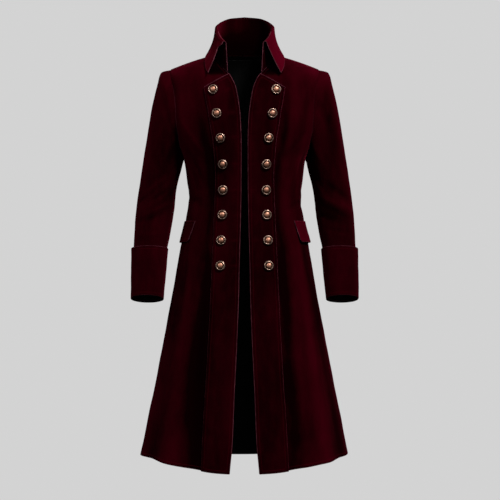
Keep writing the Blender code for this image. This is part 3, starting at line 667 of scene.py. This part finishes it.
def sheet(node, grid, normal, thick, finishes, ring=False, nap=0.0, slot="velvet", sewn=(), worn=1.0,
          nap_and_light_inside=None, fresh=0.0):
    """Outer grid, inner grid = outer - thickness * normal, and a rim that turns by 45 degrees a step.

    A free border is pulled in by half the thickness, so that the round rim ends where the piece ends.
    A sewn one reaches into its neighbour and sinks a little, which makes the seam's valley.
    A ring is a tube, whose last column meets its first.
    nap tells the painted light and shade on the outer face, with the pressed pile, nap_and_light_inside
    on the inner one. worn gives the distance to a line that gets a painted highlight with rubbing, like
    an edge, such as the roll of a collar. fresh is added to the distance from the edges, so that their
    painted highlight and rubbing are weaker."""
    sides = ("first", "last") if ring else ("first", "last", "start", "end")
    nap_and_light_inside = nap if nap_and_light_inside is None else nap_and_light_inside
    extra = [np.broadcast_to(value, grid.shape[:2])[..., None] for value in (nap, worn, nap_and_light_inside)]
    packed = with_border(np.concatenate([grid, normal] + extra, -1), sides, 1.1 * thick)
    grid, normal = packed[..., :3], unit(packed[..., 3:6])
    nap, worn, nap_and_light_inside = np.moveaxis(packed[..., 6:], -1, 0)
    rows, columns = grid.shape[:2]
    reach = thick / 2
    body_grid, outward = grid.copy(), np.zeros_like(grid)
    for border in sides:
        lines, tip = turned(grid, border), turned(body_grid, border)[0]
        inward = unit(lines[1] - lines[0])
        if border in sewn:
            flat_seam = SEAM_REACH * inward + SEAM_SINK * turned(normal, border)[0]
            tip -= RING_REACH * inward if ring else flat_seam
        else:
            tip += reach * inward
            turned(outward, border)[0] -= inward
    index = np.arange(rows * columns).reshape(rows, columns)
    wide = np.hstack([index, index[:, :1]]) if ring else index
    closed = np.concatenate([grid, grid[:, :1]], 1) if ring else grid
    across, along = arc(closed, 1), arc(closed, 0)
    middle = across[:, across.shape[1] // 2][:, None]
    place = np.stack([across - middle, along], -1)
    far = {"first": along, "last": along[-1] - along, "start": across, "end": across[:, -1:] - across}
    free = [far[border] for border in sides if border not in sewn]
    edge = fresh + np.minimum.reduce(free or [along * 0 + 1])
    points = [body_grid.reshape(-1, 3), (body_grid - thick * normal).reshape(-1, 3)]
    distance = [np.minimum(edge[:, :columns], worn).ravel(), edge[:, :columns].ravel()]
    count = rows * columns
    faces = [quads(wide), quads(wide + count)[:, ::-1]]
    grid_uv = place.reshape(-1, 2)
    spots = np.arange(closed.shape[0] * closed.shape[1]).reshape(closed.shape[:2])
    uvs = [grid_uv[quads(spots)], grid_uv[quads(spots)[:, ::-1]]]
    if ring:
        borders = [(wide[0], spots[0]), (wide[-1][::-1], spots[-1][::-1])]
    else:
        borders = [(border_line(wide), border_line(spots))]
    kinds = [np.zeros(len(faces[0]), int), np.ones(len(faces[1]), int)]
    for line, spot in borders:
        start = body_grid.reshape(-1, 3)[line[:-1]]
        away = unit(outward.reshape(-1, 3)[line[:-1]])
        square = normal.reshape(-1, 3)[line[:-1]]
        loops = [line]
        for turn in np.radians([45, 90, 135]):
            ids = count * 2 + sum(len(p) for p in points[2:]) + np.arange(len(start))
            points.append(start + reach * math.sin(turn) * away - reach * (1 - math.cos(turn)) * square)
            distance.append(np.where((away**2).sum(-1) > 0, fresh, 1.0))
            loops.append(np.append(ids, ids[0]))
        loops.append(line + count)
        rim = np.array(loops)
        faces.append(quads(rim)[:, ::-1])
        uvs.append(grid_uv[quads(np.tile(spot, (5, 1)))[:, ::-1]])
        kinds.append(np.zeros(len(faces[-1]), int))
    points, distance = np.concatenate(points), np.concatenate(distance)
    nap_and_light_values = np.zeros(len(points))
    nap_and_light_values[:2 * count] = np.concatenate([nap.ravel(), nap_and_light_inside.ravel()])
    piece = add_mesh(node + "_cloth", points, np.concatenate(faces), finishes, np.concatenate(kinds),
                     np.concatenate(uvs), {"edge": distance, "nap": nap_and_light_values}, node)
    width, length = float(across[:, -1].max()), float(along[-1].max())
    corner = closed[:-1, :-1], closed[:-1, 1:], closed[1:, 1:], closed[1:, :-1]
    cut = 0.5 * np.linalg.norm(np.cross(corner[2] - corner[0], corner[3] - corner[1]), axis=-1).sum()
    SHEETS[piece.name] = round(width, 3), round(length, 3), round(min(float(cut), width * length), 4)


def side_sheet(part, side, points, normals, thick, finishes, **looks):
    """Sheet of one side. Its points are given on the wearer's left, so the right is mirrored."""
    sheet(f"{part}_{side}", mirrored(points, side), mirrored(normals, side), thick, finishes, **looks)


# %% [markdown]
# ## Fronts and backs
# Each front is one piece from shoulder to hem, cut out round the armhole, and each back the same,
# with the seam down the middle. The rows stand closer together round the armhole, because the edge
# curves there.


# %% Fronts and backs
FRONT_LESS_WEAR_AND_SHEEN = 0.0003  # weakens the painted edge highlight and rubbing, see sheet


def armhole_depth(z, deepest):
    """Half ellipse between armpit and shoulder, and half a seam elsewhere."""
    inside = np.clip(1 - ((z - ARM_MIDDLE) / ARM_HALF) ** 2, 0, 1)
    return np.maximum(deepest * np.sqrt(inside), GAP / 2)


def heights(skirt, chest, armhole, shoulder):
    """Levels of the rows: so many in the skirt, the chest, beside the armhole and above it."""
    return np.concatenate([
        np.linspace(SIDE_HEM, WAIST, skirt)[:-1], np.linspace(WAIST, ARM_BOTTOM, chest)[:-1],
        ARM_MIDDLE - ARM_HALF * np.cos(np.linspace(0, np.pi, armhole)),
        np.linspace(ARM_TOP, NECK_POINT, shoulder)[1:]])


def spread(start, end, count):
    return start[:, None] + (end - start)[:, None] * np.linspace(0, 1, count + 1)


def front_line(z):
    """Angles of the front's open edge and of the edge of its turned-back panel."""
    open_edge = np.where(z < LAPEL, smooth(*FRONT_EDGE.T, z), smooth(*NECK.T, z))
    return angle_of_width(open_edge, z), angle_of_width(smooth(*PANEL_EDGE.T, z), z)


def body_panel(part, side):
    z = heights(116, 26, 46, 11)
    if part == "front":
        start, end = front_line(z)[0], angle_of_depth(-armhole_depth(z, ARM_FRONT), z)
        angles, sewn = spread(start, end, 78), ("last", "end")
    else:
        angles = spread(angle_of_depth(armhole_depth(z, ARM_BACK), z), back_seam(z), 66)
        sewn = ("last", "start", "end")
    points, normals, nap = cloth_on_body(angles, z[:, None], side)
    if part == "front":  # painted shadow of the collar on the front under it
        nap = nap - 0.6 * eased(points[..., 0], 0.104, 0.094) * eased(points[..., 2], -0.064, -0.046)
    # Painted light and shade of the front, a little darker from the waist down.
    side_sheet(part, side, points, normals, CLOTH, [velvet, lining], sewn=sewn, fresh=FRONT_LESS_WEAR_AND_SHEEN,
               nap=0.27 + nap - 0.08 * eased(z[:, None], -0.42, -0.60))


for side in SIDES:
    body_panel("front", side)
    body_panel("back", side)
print("fronts and backs:", {name: size for name, size in SHEETS.items()})

# %% [markdown]
# ## Turned-back panels
# A wide panel lies on each front from lapel to hem and carries the buttons. It is made from the
# front's own points, moved out, so it follows every fold of the front. Its upper end slants down
# from the neck to the point of the lapel.


# %% Panels with the buttons
PANEL_LIFT, LAPEL_LIFT = 0.0008, 0.001  # metres over the front, and as much more beside the lapel
LAPEL_ROOT, LAPEL_SLANT = -0.16, 0.036  # where the slant begins, and how far the lapel's point drops
HEM_DROP_START, HEM_DROP = -1.0, 0.002  # the panel's hem hangs lower than the front's
PRESSED_AWAY, PRESSED_LONG, PRESSED_HIGH = 0.036, 0.012, 0.0022  # pressed line beside a button
# Distance from the middle and height of each button, from the top.
BUTTONS = [(0.0819, -0.1000), (0.0724, -0.1625), (0.0627, -0.2268), (0.0568, -0.2950),
           (0.0561, -0.3627), (0.0579, -0.4290), (0.0607, -0.4965), (0.0629, -0.5638)]


def level_of(z):
    """Height at the side line that reaches this height in the front."""
    return np.where(z < WAIST, WAIST + (z - WAIST) * (SIDE_HEM - WAIST) / (FRONT_HEM - WAIST), z)


def hem_drop(z):
    return np.interp(z, [FRONT_HEM, HEM_DROP_START], [HEM_DROP, 0])


def front_panel(side):
    z = heights(130, 28, 46, 2)
    z = np.append(z[z < LAPEL - 0.002], LAPEL)
    start, end = front_line(z)
    angles = spread(start, end, 30)
    points = body(angles, z[:, None], side)
    slope = np.linspace(0, LAPEL_SLANT, 31) * np.interp(z, [LAPEL_ROOT, LAPEL], [0, 1])[:, None]
    x, low = points[..., 0], points[..., 2] - slope - hem_drop(points[..., 2])
    level = np.clip(level_of(low), SIDE_HEM - 0.003, NECK_POINT)
    angle = np.where(slope > 1e-9, angle_of_width(x, level), angles)
    level = np.where(slope > 1e-9, low, z[:, None])
    points, normals, nap = cloth_on_body(angle, level, side)
    points[..., 2] -= hem_drop(points[..., 2])
    lift = PANEL_LIFT + LAPEL_LIFT * np.interp(z, [LAPEL_ROOT, -0.12], [0, 1])[:, None, None]
    points = points + (lift + PANEL) * normals
    # Beside each button the pile is pressed in a short line, where the cloth was buttoned over.
    pressed = 0
    for across, high in BUTTONS:
        sideways = (points[..., 0] - across + PRESSED_AWAY) / PRESSED_LONG
        upright = (points[..., 2] - high - 0.001) / PRESSED_HIGH
        pressed = pressed + np.exp(-(sideways**2) - upright**2)
    # Painted light and shade at half strength on the panel, darker than the front, and the pressed
    # lines.
    side_sheet("front_panel", side, points, normals, PANEL, [velvet, velvet], fresh=FRONT_LESS_WEAR_AND_SHEEN,
               nap=0.15 + 0.5 * nap + SIDES[side]["pressed"] * pressed)


for side in SIDES:
    front_panel(side)
print("panels:", SHEETS["front_panel_left_cloth"])

# %% [markdown]
# ## Sleeves and cuffs
# A sleeve is a tube, but not a straight one: it leaves the armhole on the slant of the shoulder
# seam, bends a little at the elbow and swings forward to the hand. Its rings are placed one by one,
# and the first ring is the armhole itself. The elbow's creases run slantwise round the tube.

# %% Sleeve rings
# Outer point (x, z), inner point (x, z), depth, how far forward, and tilt in thousandths.
SLEEVE = np.array([
    (203, -34.8, 164.1, -278.4, 66.4, 4, 0), (216, -37, 164.6, -279.2, 67.5, 3, 0),
    (226.8, -40.8, 165.2, -280.2, 69, 2, 0), (232.5, -52.2, 166, -282, 70, 0, 0),
    (236.2, -70, 166.8, -284, 70.8, -2, 0), (243.5, -100, 168, -287.5, 71, -3, 0),
    (252, -140, 170, -296, 70, -5, 0), (260.5, -190, 173.5, -309, 69, -6, 0),
    (271, -255, 180, -333, 67, -6, 20), (281.5, -325, 186.5, -368, 64.5, -3, 40),
    (290, -384, 190.5, -407, 62.5, 2, 70), (295, -437, 196.2, -448, 60.5, 10, 100),
    (297.2, -478, 202, -483, 58.5, 18, 130), (298.4, -515, 209, -516.5, 56.5, 24, 150),
    (300.5, -580, 216, -580, 55, 34, 180), (302, -648, 221.2, -648, 54, 46, 215),
]) / 1000
CUFF = np.array([
    (305, -518, 205.6, -518, 62, 24.5, 150), (305.2, -560, 209, -560, 60.5, 31, 160),
    (305.2, -605, 213, -605, 58.5, 38, 190), (305.2, -652, 217.2, -652, 57, 46.5, 215),
]) / 1000
FINE_FROM, LAST_RING = 7, len(SLEEVE) - 1  # creases are finer from the elbow down
# How far each ring of the sleeve still has the armhole's own shape.
FOLLOW_ARMHOLE = [1, 0.95, 0.8, 0.55, 0.3, 0.1] + [0] * 10
UNDER_CUFF, CUFF_FADE = -0.53, 0.03  # the sleeve has no creases where the cuff covers it
LIGHT_OF_CUFF, CUFF_LESS_WEAR_AND_SHEEN = 40, 0.0008
# Degrees round the sleeve from its outer side over the front, then the columns of CREASES.
SLEEVE_CREASES = {
    "left": [
        (78, -362, 58, 42, 7.5, -2.4), (104, -392, 66, 48, 7.5, 2.2), (92, -418, 72, 46, 7, -2.3),
        (132, -360, 50, 48, 8.5, 1.8), (58, -404, 64, 32, 6.5, 1.4),
        (142, -430, 78, 38, 7.5, -1.8), (150, -312, 36, 55, 10, -2), (118, -262, 24, 60, 10, 1.6),
        (64, -190, 8, 80, 13, -1.4), (30, -130, -4, 60, 11, 1), (96, -150, 14, 60, 11, 1.4),
        (88, -470, 84, 40, 7, -1.2), (250, -384, -58, 50, 9.5, -2.2), (276, -410, -68, 44, 8.5, 2),
        (228, -424, -62, 48, 8.5, -2), (292, -300, -12, 80, 13, 1.6),
        (262, -200, -18, 70, 12, -1.6), (318, -450, -80, 36, 8, -1.4),
        (200, -300, 20, 50, 10, 1.4),
    ],
    "right": [
        (84, -350, 54, 46, 8, 2), (98, -378, 62, 50, 7.5, -2.4), (110, -408, 70, 44, 7, 2.1),
        (82, -436, 76, 42, 7, -2), (136, -372, 48, 50, 9, -1.8), (50, -388, 60, 34, 6.5, -1.3),
        (146, -300, 30, 60, 10, 1.8), (124, -250, 26, 55, 9.5, -1.7), (70, -210, 6, 85, 13, 1.4),
        (28, -150, -6, 60, 11, -1.1), (100, -140, 18, 55, 11, -1.3), (92, -480, 86, 40, 7, 1.1),
        (244, -372, -54, 52, 9.5, 2), (270, -396, -64, 48, 8.5, -2.3),
        (234, -430, -66, 44, 8.5, 1.8), (296, -280, -10, 85, 13, -1.6),
        (258, -220, -16, 70, 12, 1.5), (322, -436, -76, 38, 8, 1.3), (204, -320, 16, 50, 10, -1.5),
    ],
}
# Degrees round the sleeve, then the columns of the body's painted light and shade.
PAINTED_LIGHT_SLEEVE = {
    "left": [
        (40, -60, 0, 30, 50, 100), (20, -200, 0, 140, 26, 140), (70, -220, 0, 120, 20, -60),
        (150, -330, 0, 100, 36, -200), (146, -190, 0, 80, 30, -240), (60, -400, 60, 40, 16, 120),
        (110, -420, 60, 40, 16, -100), (98, -350, 0, 80, 34, -90),
    ],
    "right": [
        (8, -300, 0, 200, 16, 140), (50, -60, 0, 30, 50, 80), (30, -240, 0, 140, 26, 60),
        (80, -220, 0, 120, 20, -50), (150, -330, 0, 100, 36, -180), (146, -190, 0, 80, 32, -260),
        (70, -390, 60, 40, 16, 100), (115, -410, 60, 40, 16, -100), (118, -180, 0, 100, 22, -120),
        (84, -350, 0, 80, 44, -120),
    ],
}


def tube(table, places, turn):
    """Ring = middle + cos(turn) towards the outer point + sin(turn) ^ 0.9 of the depth to the front."""
    at = np.arange(len(table), dtype=float)
    outer_x, outer_z, inner_x, inner_z, depth, forward, tilt = (
        smooth(at, column, places)[:, None] for column in table.T)
    share, over = (1 + np.cos(turn)) / 2, np.sin(turn)
    across = np.sign(over) * np.abs(over) ** 0.9
    return np.stack([inner_x + (outer_x - inner_x) * share, -forward - depth * across,
                     inner_z + (outer_z - inner_z) * share + tilt * depth * across], -1)


def tube_normal(points):
    around = np.roll(points, -1, axis=1) - np.roll(points, 1, axis=1)
    normal = unit(np.cross(around, np.gradient(points, axis=0)))
    out = points - points.mean(axis=1, keepdims=True)
    return normal * np.sign((normal * out).sum(-1, keepdims=True))


def armhole(turn, side):
    """The armhole's edge at each turn, on the creased cloth of front and back."""
    z = ARM_MIDDLE + ARM_HALF * np.cos(turn)
    over = np.sin(turn)
    deep = np.maximum(np.where(over > 0, ARM_FRONT, ARM_BACK) * np.abs(over), GAP / 2)
    return cloth_on_body(angle_of_depth(-np.sign(over + 1e-9) * deep, z), z, side)[0]


def sleeve(side):
    """Sleeve, then its cuff."""
    turn = np.linspace(0, 2 * np.pi, 112, endpoint=False)
    places = np.concatenate([np.linspace(0, FINE_FROM, 50)[:-1], np.linspace(FINE_FROM, LAST_RING, 100)])
    rings = tube(SLEEVE, places, turn)
    follow = np.interp(places, np.arange(len(SLEEVE)), FOLLOW_ARMHOLE)[:, None, None]
    rings = rings + follow * (armhole(turn, side) + np.array([GAP, 0, 0]) - rings[0])
    normal = tube_normal(rings)
    calm = np.clip(places / 1.5, 0, 1)[:, None]
    seen = np.clip((rings[..., 2].mean(1) - UNDER_CUFF) / CUFF_FADE, 0, 1)[:, None]
    degrees = np.degrees(turn)
    height = creases(SLEEVE_CREASES[side], degrees, rings[..., 2], SLEEVE_RADIUS, wrap=True)
    height += 0.8 * unevenness(36 * np.sin(turn), rings[..., 2], SIDES[side]["sleeve"])
    rings = rings + (height * calm * seen)[..., None] * normal
    # Painted light on the sleeve's ridges and where the lamps fall, painted shade in its troughs.
    nap = SIDES[side]["sleeve_nap"] + LIGHT_OF_SLEEVE * height
    nap += creases(PAINTED_LIGHT_SLEEVE[side], degrees, rings[..., 2], SLEEVE_RADIUS, wrap=True)
    # The shoulder seam gets a painted highlight with rubbing in front alone: elsewhere the line is too
    # far to show.
    front = eased(turn, 0.5, 0.9) * eased(turn, 2.9, 2.4)
    seam = arc(rings, 0) + SIDES[side]["seam"] + 0.01 * (1 - front)
    side_sheet("sleeve", side, rings, normal, CLOTH, [velvet_plain, lining], ring=True, nap=nap,
               sewn=("first",), worn=seam)
    rings = tube(CUFF, np.linspace(0, 3, 44), turn)
    normal = tube_normal(rings)
    height = unevenness(50 * np.sin(turn), rings[..., 2] * 1.5, SIDES[side]["cuff"])
    rings = rings + (0.9 * height)[..., None] * normal
    # Painted light on the cuff's raised waves, painted shade in its dips.
    side_sheet("cuff", side, rings, normal, CLOTH, [velvet, lining], ring=True,
               nap=0.25 + LIGHT_OF_CUFF * height, fresh=CUFF_LESS_WEAR_AND_SHEEN)


for side in SIDES:
    sleeve(side)
print("sleeves:", SHEETS["sleeve_left_cloth"], "cuffs:", SHEETS["cuff_left_cloth"])

# %% [markdown]
# ## Pocket flaps
# A flap hangs below the waist over a pocket, with a rounded lower front corner, and lifts a little
# at its lower edge. It is cut on the body's own surface too.

# %% Pocket flaps
FLAP_START, FLAP_END, FLAP_SLANT = 50.5, 107, 3.8  # degrees from the middle of the front
FLAP_TOP, FLAP_DEPTH, FLAP_DROP = -0.444, 0.056, 0.003
FLAP_CORNER, CORNER_SHARE = 0.10, 0.07  # how much the front corner is cut, and over which share
FLAP_LIFT, FLAP_FLARE, FLAP_CURL = 0.0009, 0.004, 0.0012  # at its seam, and more at its lower edge


def pocket_flap(side):
    """Angles run between the flap's two ends, and heights from its top seam to its lower edge."""
    across = np.linspace(0, 1, 64)
    down = np.linspace(0, 1, 26)[:, None]
    angle = np.radians(FLAP_START + (FLAP_END - FLAP_START) * across + FLAP_SLANT * down * (1 - across))
    corner = 1 - np.clip(1 - across / CORNER_SHARE, 0, 1) ** 2 * FLAP_CORNER
    level = FLAP_TOP - FLAP_DROP * across * down - FLAP_DEPTH * down * corner
    points, normals, _ = cloth_on_body(angle, level, side)
    looks = SIDES[side]
    curl = FLAP_CURL * np.sin(5 * across + looks["curl"]) * down**2
    lift = (FLAP_LIFT + FLAP_FLARE * down + curl * (down > 0.3))[..., None]
    points = points + (lift + FLAP) * normals
    # Painted light, stronger on the wearer's left flap, nearer the key lamp, and a painted highlight
    # with rubbing along its seam.
    side_sheet("pocket_flap", side, points, normals, FLAP, [velvet, lining], sewn=("first",),
               nap=looks["flap_nap"], worn=arc(points, 0) + 0.0006, fresh=looks["flap_fresh"])


for side in SIDES:
    pocket_flap(side)

# %% [markdown]
# ## Lining
# Only the lining of the back shows, as a dark hollow in the neck and between the fronts. It is one
# sheet inside both backs, and its points are theirs, moved in.


# %% Lining of the back
LINING = 0.001  # wall


def back_lining():
    z = heights(60, 14, 30, 6)[:-1]
    angles = spread(angle_of_depth(armhole_depth(z, ARM_BACK), z), back_seam(z), 40)
    halves = []
    for side in SIDES:
        points, normals, _ = cloth_on_body(angles, z[:, None], side)
        halves.append((mirrored(points - (CLOTH + 2 * GAP) * normals, side), mirrored(normals, side)))
    (left, left_square), (right, right_square) = halves
    left[:, -1] = (left[:, -1] + right[:, -1]) / 2
    points = np.hstack([left, right[:, -2::-1]])
    normals = unit(np.hstack([left_square, right_square[:, -2::-1]]))
    sheet("lining_back", points, normals, LINING, [lining, lining], slot="lining")


back_lining()

# %% [markdown]
# ## Collar
# The collar stands up from the neck seam, rolls over, and falls on the shoulders. Seven places along
# the neck give the top of the roll, the roll's radius and the lower edge of the fall. Between roll
# and lower edge the fall is slightly hollow, as cloth that bends over a stiff stand is. The front
# end of the fall on the wearer's right is cut back and stands out a little, since the two ends of
# this collar do not hang alike.

# %% Collar
# Share of the neck from the middle of the back, top of the roll, its radius, lower edge of the fall.
COLLAR = np.array([
    (0.00, 0.000, 0.0780, 0.1215, 0.0050, 0.000, 0.1000, 0.0035),
    (0.20, 0.040, 0.0690, 0.1165, 0.0050, 0.053, 0.0925, 0.0045),
    (0.36, 0.066, 0.0380, 0.1010, 0.0050, 0.091, 0.0600, 0.0055),
    (0.50, 0.0755, -0.0050, 0.0840, 0.0052, 0.1050, 0.0060, 0.0052),
    (0.68, 0.0725, -0.0440, 0.0660, 0.0056, 0.1072, -0.0535, -0.0120),
    (0.85, 0.0650, -0.0810, 0.0450, 0.0062, 0.1045, -0.0900, -0.0360),
    (1.00, 0.0535, -0.1050, 0.0300, 0.0068, 0.0970, -0.1160, -0.0550),
])
UP = np.array([0, 0, 1.0])
FALL, STAND = 0.0024, 0.002  # walls
HOLLOW = 0.0055  # depth of the fall's hollow
CUT_BACK, STAND_OUT = 0.06, 0.004  # right front end: share of the neck, and metres
CREST_ROW = 6  # row along the top of the roll, with a painted highlight and rubbing
# Painted light and shade: a value for all, then rows of an amount and the places where it begins
# and is full. Places run from -1 at the wearer's right end to 1 at the left one. The key lights the
# fall's ends, and the inside of the neck on the wearer's right, and these get painted light.
COLLAR_LIGHT = {
    "upper": (0, [(0.31, 0.42, -0.25), (0.40, -0.24, -0.38)]),
    "inside": (-0.20, [(0.10, -0.35, -0.85)]),
    "roll": (0, [(0.2, -0.45, -0.7)]),
    "fall": (0.10, [(0.62, 0.2, 0.75), (0.22, -0.5, -0.8)]),
}


def neck_seam(places):
    """Points of the neck seam by the share of its length, from the middle of the back."""
    z = heights(3, 3, 30, 24)
    z = z[z >= LAPEL - 1e-6]
    shoulder = angle_of_depth(np.array(GAP / 2), z[-1])
    back = body(np.linspace(back_seam(z[-1]), shoulder, 30), z[-1], "left")
    front = body(front_line(z)[0], z, "left")[::-1]
    seam = np.concatenate([back, front])
    length = arc(seam, 0)
    found = np.stack([np.interp(np.abs(places), length / length[-1], line) for line in seam.T], -1)
    found[:, 0] *= np.sign(places)
    return found


def square_to(grid, out):
    normal = unit(np.cross(np.gradient(grid, axis=1), np.gradient(grid, axis=0)))
    return normal * np.sign((normal * out).sum(-1, keepdims=True))


def collar_light(name, places):
    start, rows = COLLAR_LIGHT[name]
    return sum((amount * eased(places, none, full) for amount, none, full in rows), start)


def collar():
    """The fall, rolled over the stand, then the stand between the neck seam and the roll."""
    places = np.linspace(-1, 1, 220)
    columns = [smooth(COLLAR[:, 0], column, np.abs(places)) for column in COLLAR.T[1:]]
    roll, radius, lower = np.stack(columns[:3], -1), columns[3][:, None], np.stack(columns[4:], -1)
    roll[:, 0] *= np.sign(places)
    lower[:, 0] *= np.sign(places)
    out = unit(np.cross(np.gradient(roll, axis=0), UP))
    out *= np.sign((out[:, :2] * roll[:, :2]).sum(-1))[:, None]
    out[:, 2] = 0
    centre = roll - radius * UP
    turn = np.radians(np.linspace(180, 0, 15))[:, None, None]
    spoke = np.cos(turn) * out + np.sin(turn) * UP
    bend = centre + radius * spoke
    down = np.linspace(0, 1, 24)[1:, None, None]
    ease = 0.0008 * np.sin(9 * places + 1.3)[:, None] + 0.0005 * np.sin(23 * places)[:, None]
    hollow = HOLLOW * (1 - 0.9 * np.abs(places) ** 8)[:, None]
    fall = bend[-1] + (lower - bend[-1]) * down + out * (ease - hollow) * np.sin(np.pi * down)
    for row, share in zip(fall, down[:, 0, 0]):
        open_edge = eased(places, -0.8, -1.0) * eased(share, 0, 0.22) * (1 - share)
        cut = places + CUT_BACK * open_edge
        row[:] = np.stack([np.interp(cut, places, line) for line in row.T], -1)
        row[:, 0] -= STAND_OUT * open_edge
    outer = np.concatenate([bend, fall])
    normal = square_to(outer, np.concatenate([spoke, np.broadcast_to(out, fall.shape)]))
    # Painted light and shade of the collar: lit ends, painted shade underneath, and a painted highlight
    # with rubbing along the crest of the roll near its ends.
    upper, inside, roll_end, lit = (
        collar_light(name, places) for name in ("upper", "inside", "roll", "fall"))
    number = np.arange(len(outer))[:, None]
    lit_roll = inside + upper + roll_end * eased(number, 1, 6)
    length = arc(outer, 0)
    crest = np.abs(length - length[CREST_ROW]) + 0.01 * eased(np.abs(places), 0.72, 0.55)
    sheet("collar_fall", outer, normal, FALL, [velvet_plain, velvet_plain], sewn=("first",), worn=crest,
          nap=lit_roll + (lit - lit_roll) * eased(number, 3, 10), nap_and_light_inside=-0.1)
    top = centre - (radius - 0.0012) * out - GAP * UP
    bottom = neck_seam(places) + (GAP + 0.0009) * UP - 0.0004 * out
    rise = np.linspace(0, 1, 18)[:, None, None]
    middle = bottom + (top - bottom) * rise
    lean = square_to(middle, np.broadcast_to(out, middle.shape))
    lean[0] = lean[-1] = out
    upper = upper * eased(rise[:, :, 0], 0.15, 0.85)
    # Painted shade on the stand's outer face, painted light and shade inside the neck.
    sheet("collar_stand", middle + STAND / 2 * lean, lean, STAND, [velvet, velvet], nap=-0.1,
          sewn=("first", "last"), nap_and_light_inside=inside + upper)


collar()
print("collar:", SHEETS["collar_fall_cloth"], SHEETS["collar_stand_cloth"])

# %% [markdown]
# ## Buttons
# Eight turned buttons stand on each panel. The outline of one is a profile from the middle of its
# dome, over a groove and a raised rim, to its back, and it is carried round in a circle. Each is set
# square to the cloth under it.

# %% Buttons
BUTTON_RADIUS, BUTTON_HEIGHT = 0.0128, 0.0085
SHANK = 0.0007  # metres between the panel and the button
SPOKES = 40
# Share of the radius, share of the height, how deep in a groove, and whether it belongs to the rim.
PROFILE = np.array([
    (0, 1, 0, 0), (0.12, 0.992, 0, 0), (0.27, 0.96, 0, 0), (0.4, 0.89, 0, 0), (0.51, 0.79, 0, 0),
    (0.575, 0.66, 0.1, 0), (0.615, 0.5, 0.9, 0), (0.64, 0.36, 1, 0), (0.67, 0.32, 1, 1),
    (0.71, 0.33, 1, 1), (0.745, 0.42, 0.9, 1), (0.78, 0.53, 0.1, 1), (0.82, 0.58, 0, 1),
    (0.86, 0.57, 0, 1), (0.9, 0.49, 0.1, 1), (0.925, 0.44, 0.9, 1), (0.95, 0.45, 0.5, 1),
    (0.98, 0.42, 0, 1), (1, 0.31, 0.1, 1), (0.99, 0.18, 0.3, 1), (0.93, 0.04, 0.5, 1),
    (0.8, 0, 1, 1), (0, 0, 1, 1),
])


def button(side, number, x, z):
    """Profile turned round its axis, then carried to its seat on the panel."""
    level = level_of(np.array(z))
    angle = angle_of_width(np.array(x), level)
    normal = body_normal(angle, level, side)
    rise = PANEL_LIFT + PANEL + SHANK + (LAPEL_LIFT if number == 1 else 0)
    seat = mirrored(body(angle, level, side) + rise * normal, side)
    axis = mirrored(normal, side)
    across = unit(np.cross(UP, axis))
    up = np.cross(axis, across)
    turn = np.linspace(0, 2 * np.pi, SPOKES, endpoint=False)
    spoke = np.cos(turn)[:, None] * across + np.sin(turn)[:, None] * up
    rings = PROFILE[1:-1]
    wide, high = rings[:, 0, None, None], rings[:, 1, None, None]
    rim = BUTTON_RADIUS * wide * spoke + BUTTON_HEIGHT * high * axis
    points = seat + np.concatenate([rim.reshape(-1, 3), [BUTTON_HEIGHT * axis, 0 * axis]])
    index = np.arange(len(rings) * SPOKES).reshape(len(rings), SPOKES)
    index = np.hstack([index, index[:, :1]])
    faces = quads(index)
    caps = [(index[0], len(points) - 2), (index[-1][::-1], len(points) - 1)]
    for line, tip in caps:
        cap = np.stack([line[:-1:2], np.full(SPOKES // 2, tip), line[2::2], line[1::2]], -1)
        faces = np.concatenate([faces, cap])
    marks = {name: np.append(np.repeat(rings[:, k], SPOKES), PROFILE[[0, -1], k])
             for name, k in (("hollow", 2), ("rim", 3))}
    node = f"button_{side}_{number}"
    add_mesh(node + "_metal", points, faces, [brass], np.zeros(len(faces)),
             np.zeros((len(faces), 4, 2)), marks, node)


for side in SIDES:
    for number, (x, z) in enumerate(BUTTONS, 1):
        button(side, number, x, z)

# %% [markdown]
# ## What each sheet was before it hung
# For every piece of cloth the size that it was cut to is printed, measured along its own surface:
# the length of its longest row and column, and its area.

# %% Cut sizes
HANGS_FROM = {"sleeve": "front", "cuff": "sleeve", "front_panel": "front", "pocket_flap": "front",
              "back": "front", "front": "back"}
for name, (width, length, area) in SHEETS.items():
    node = name.removesuffix("_cloth")
    part, _, side = node.rpartition("_")
    if part in HANGS_FROM:
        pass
    elif node == "collar_fall":
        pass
    else:
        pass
    print(f"{node:20s} {width * 1000:5.0f} x {length * 1000:5.0f} mm, {area:.4f} m2")
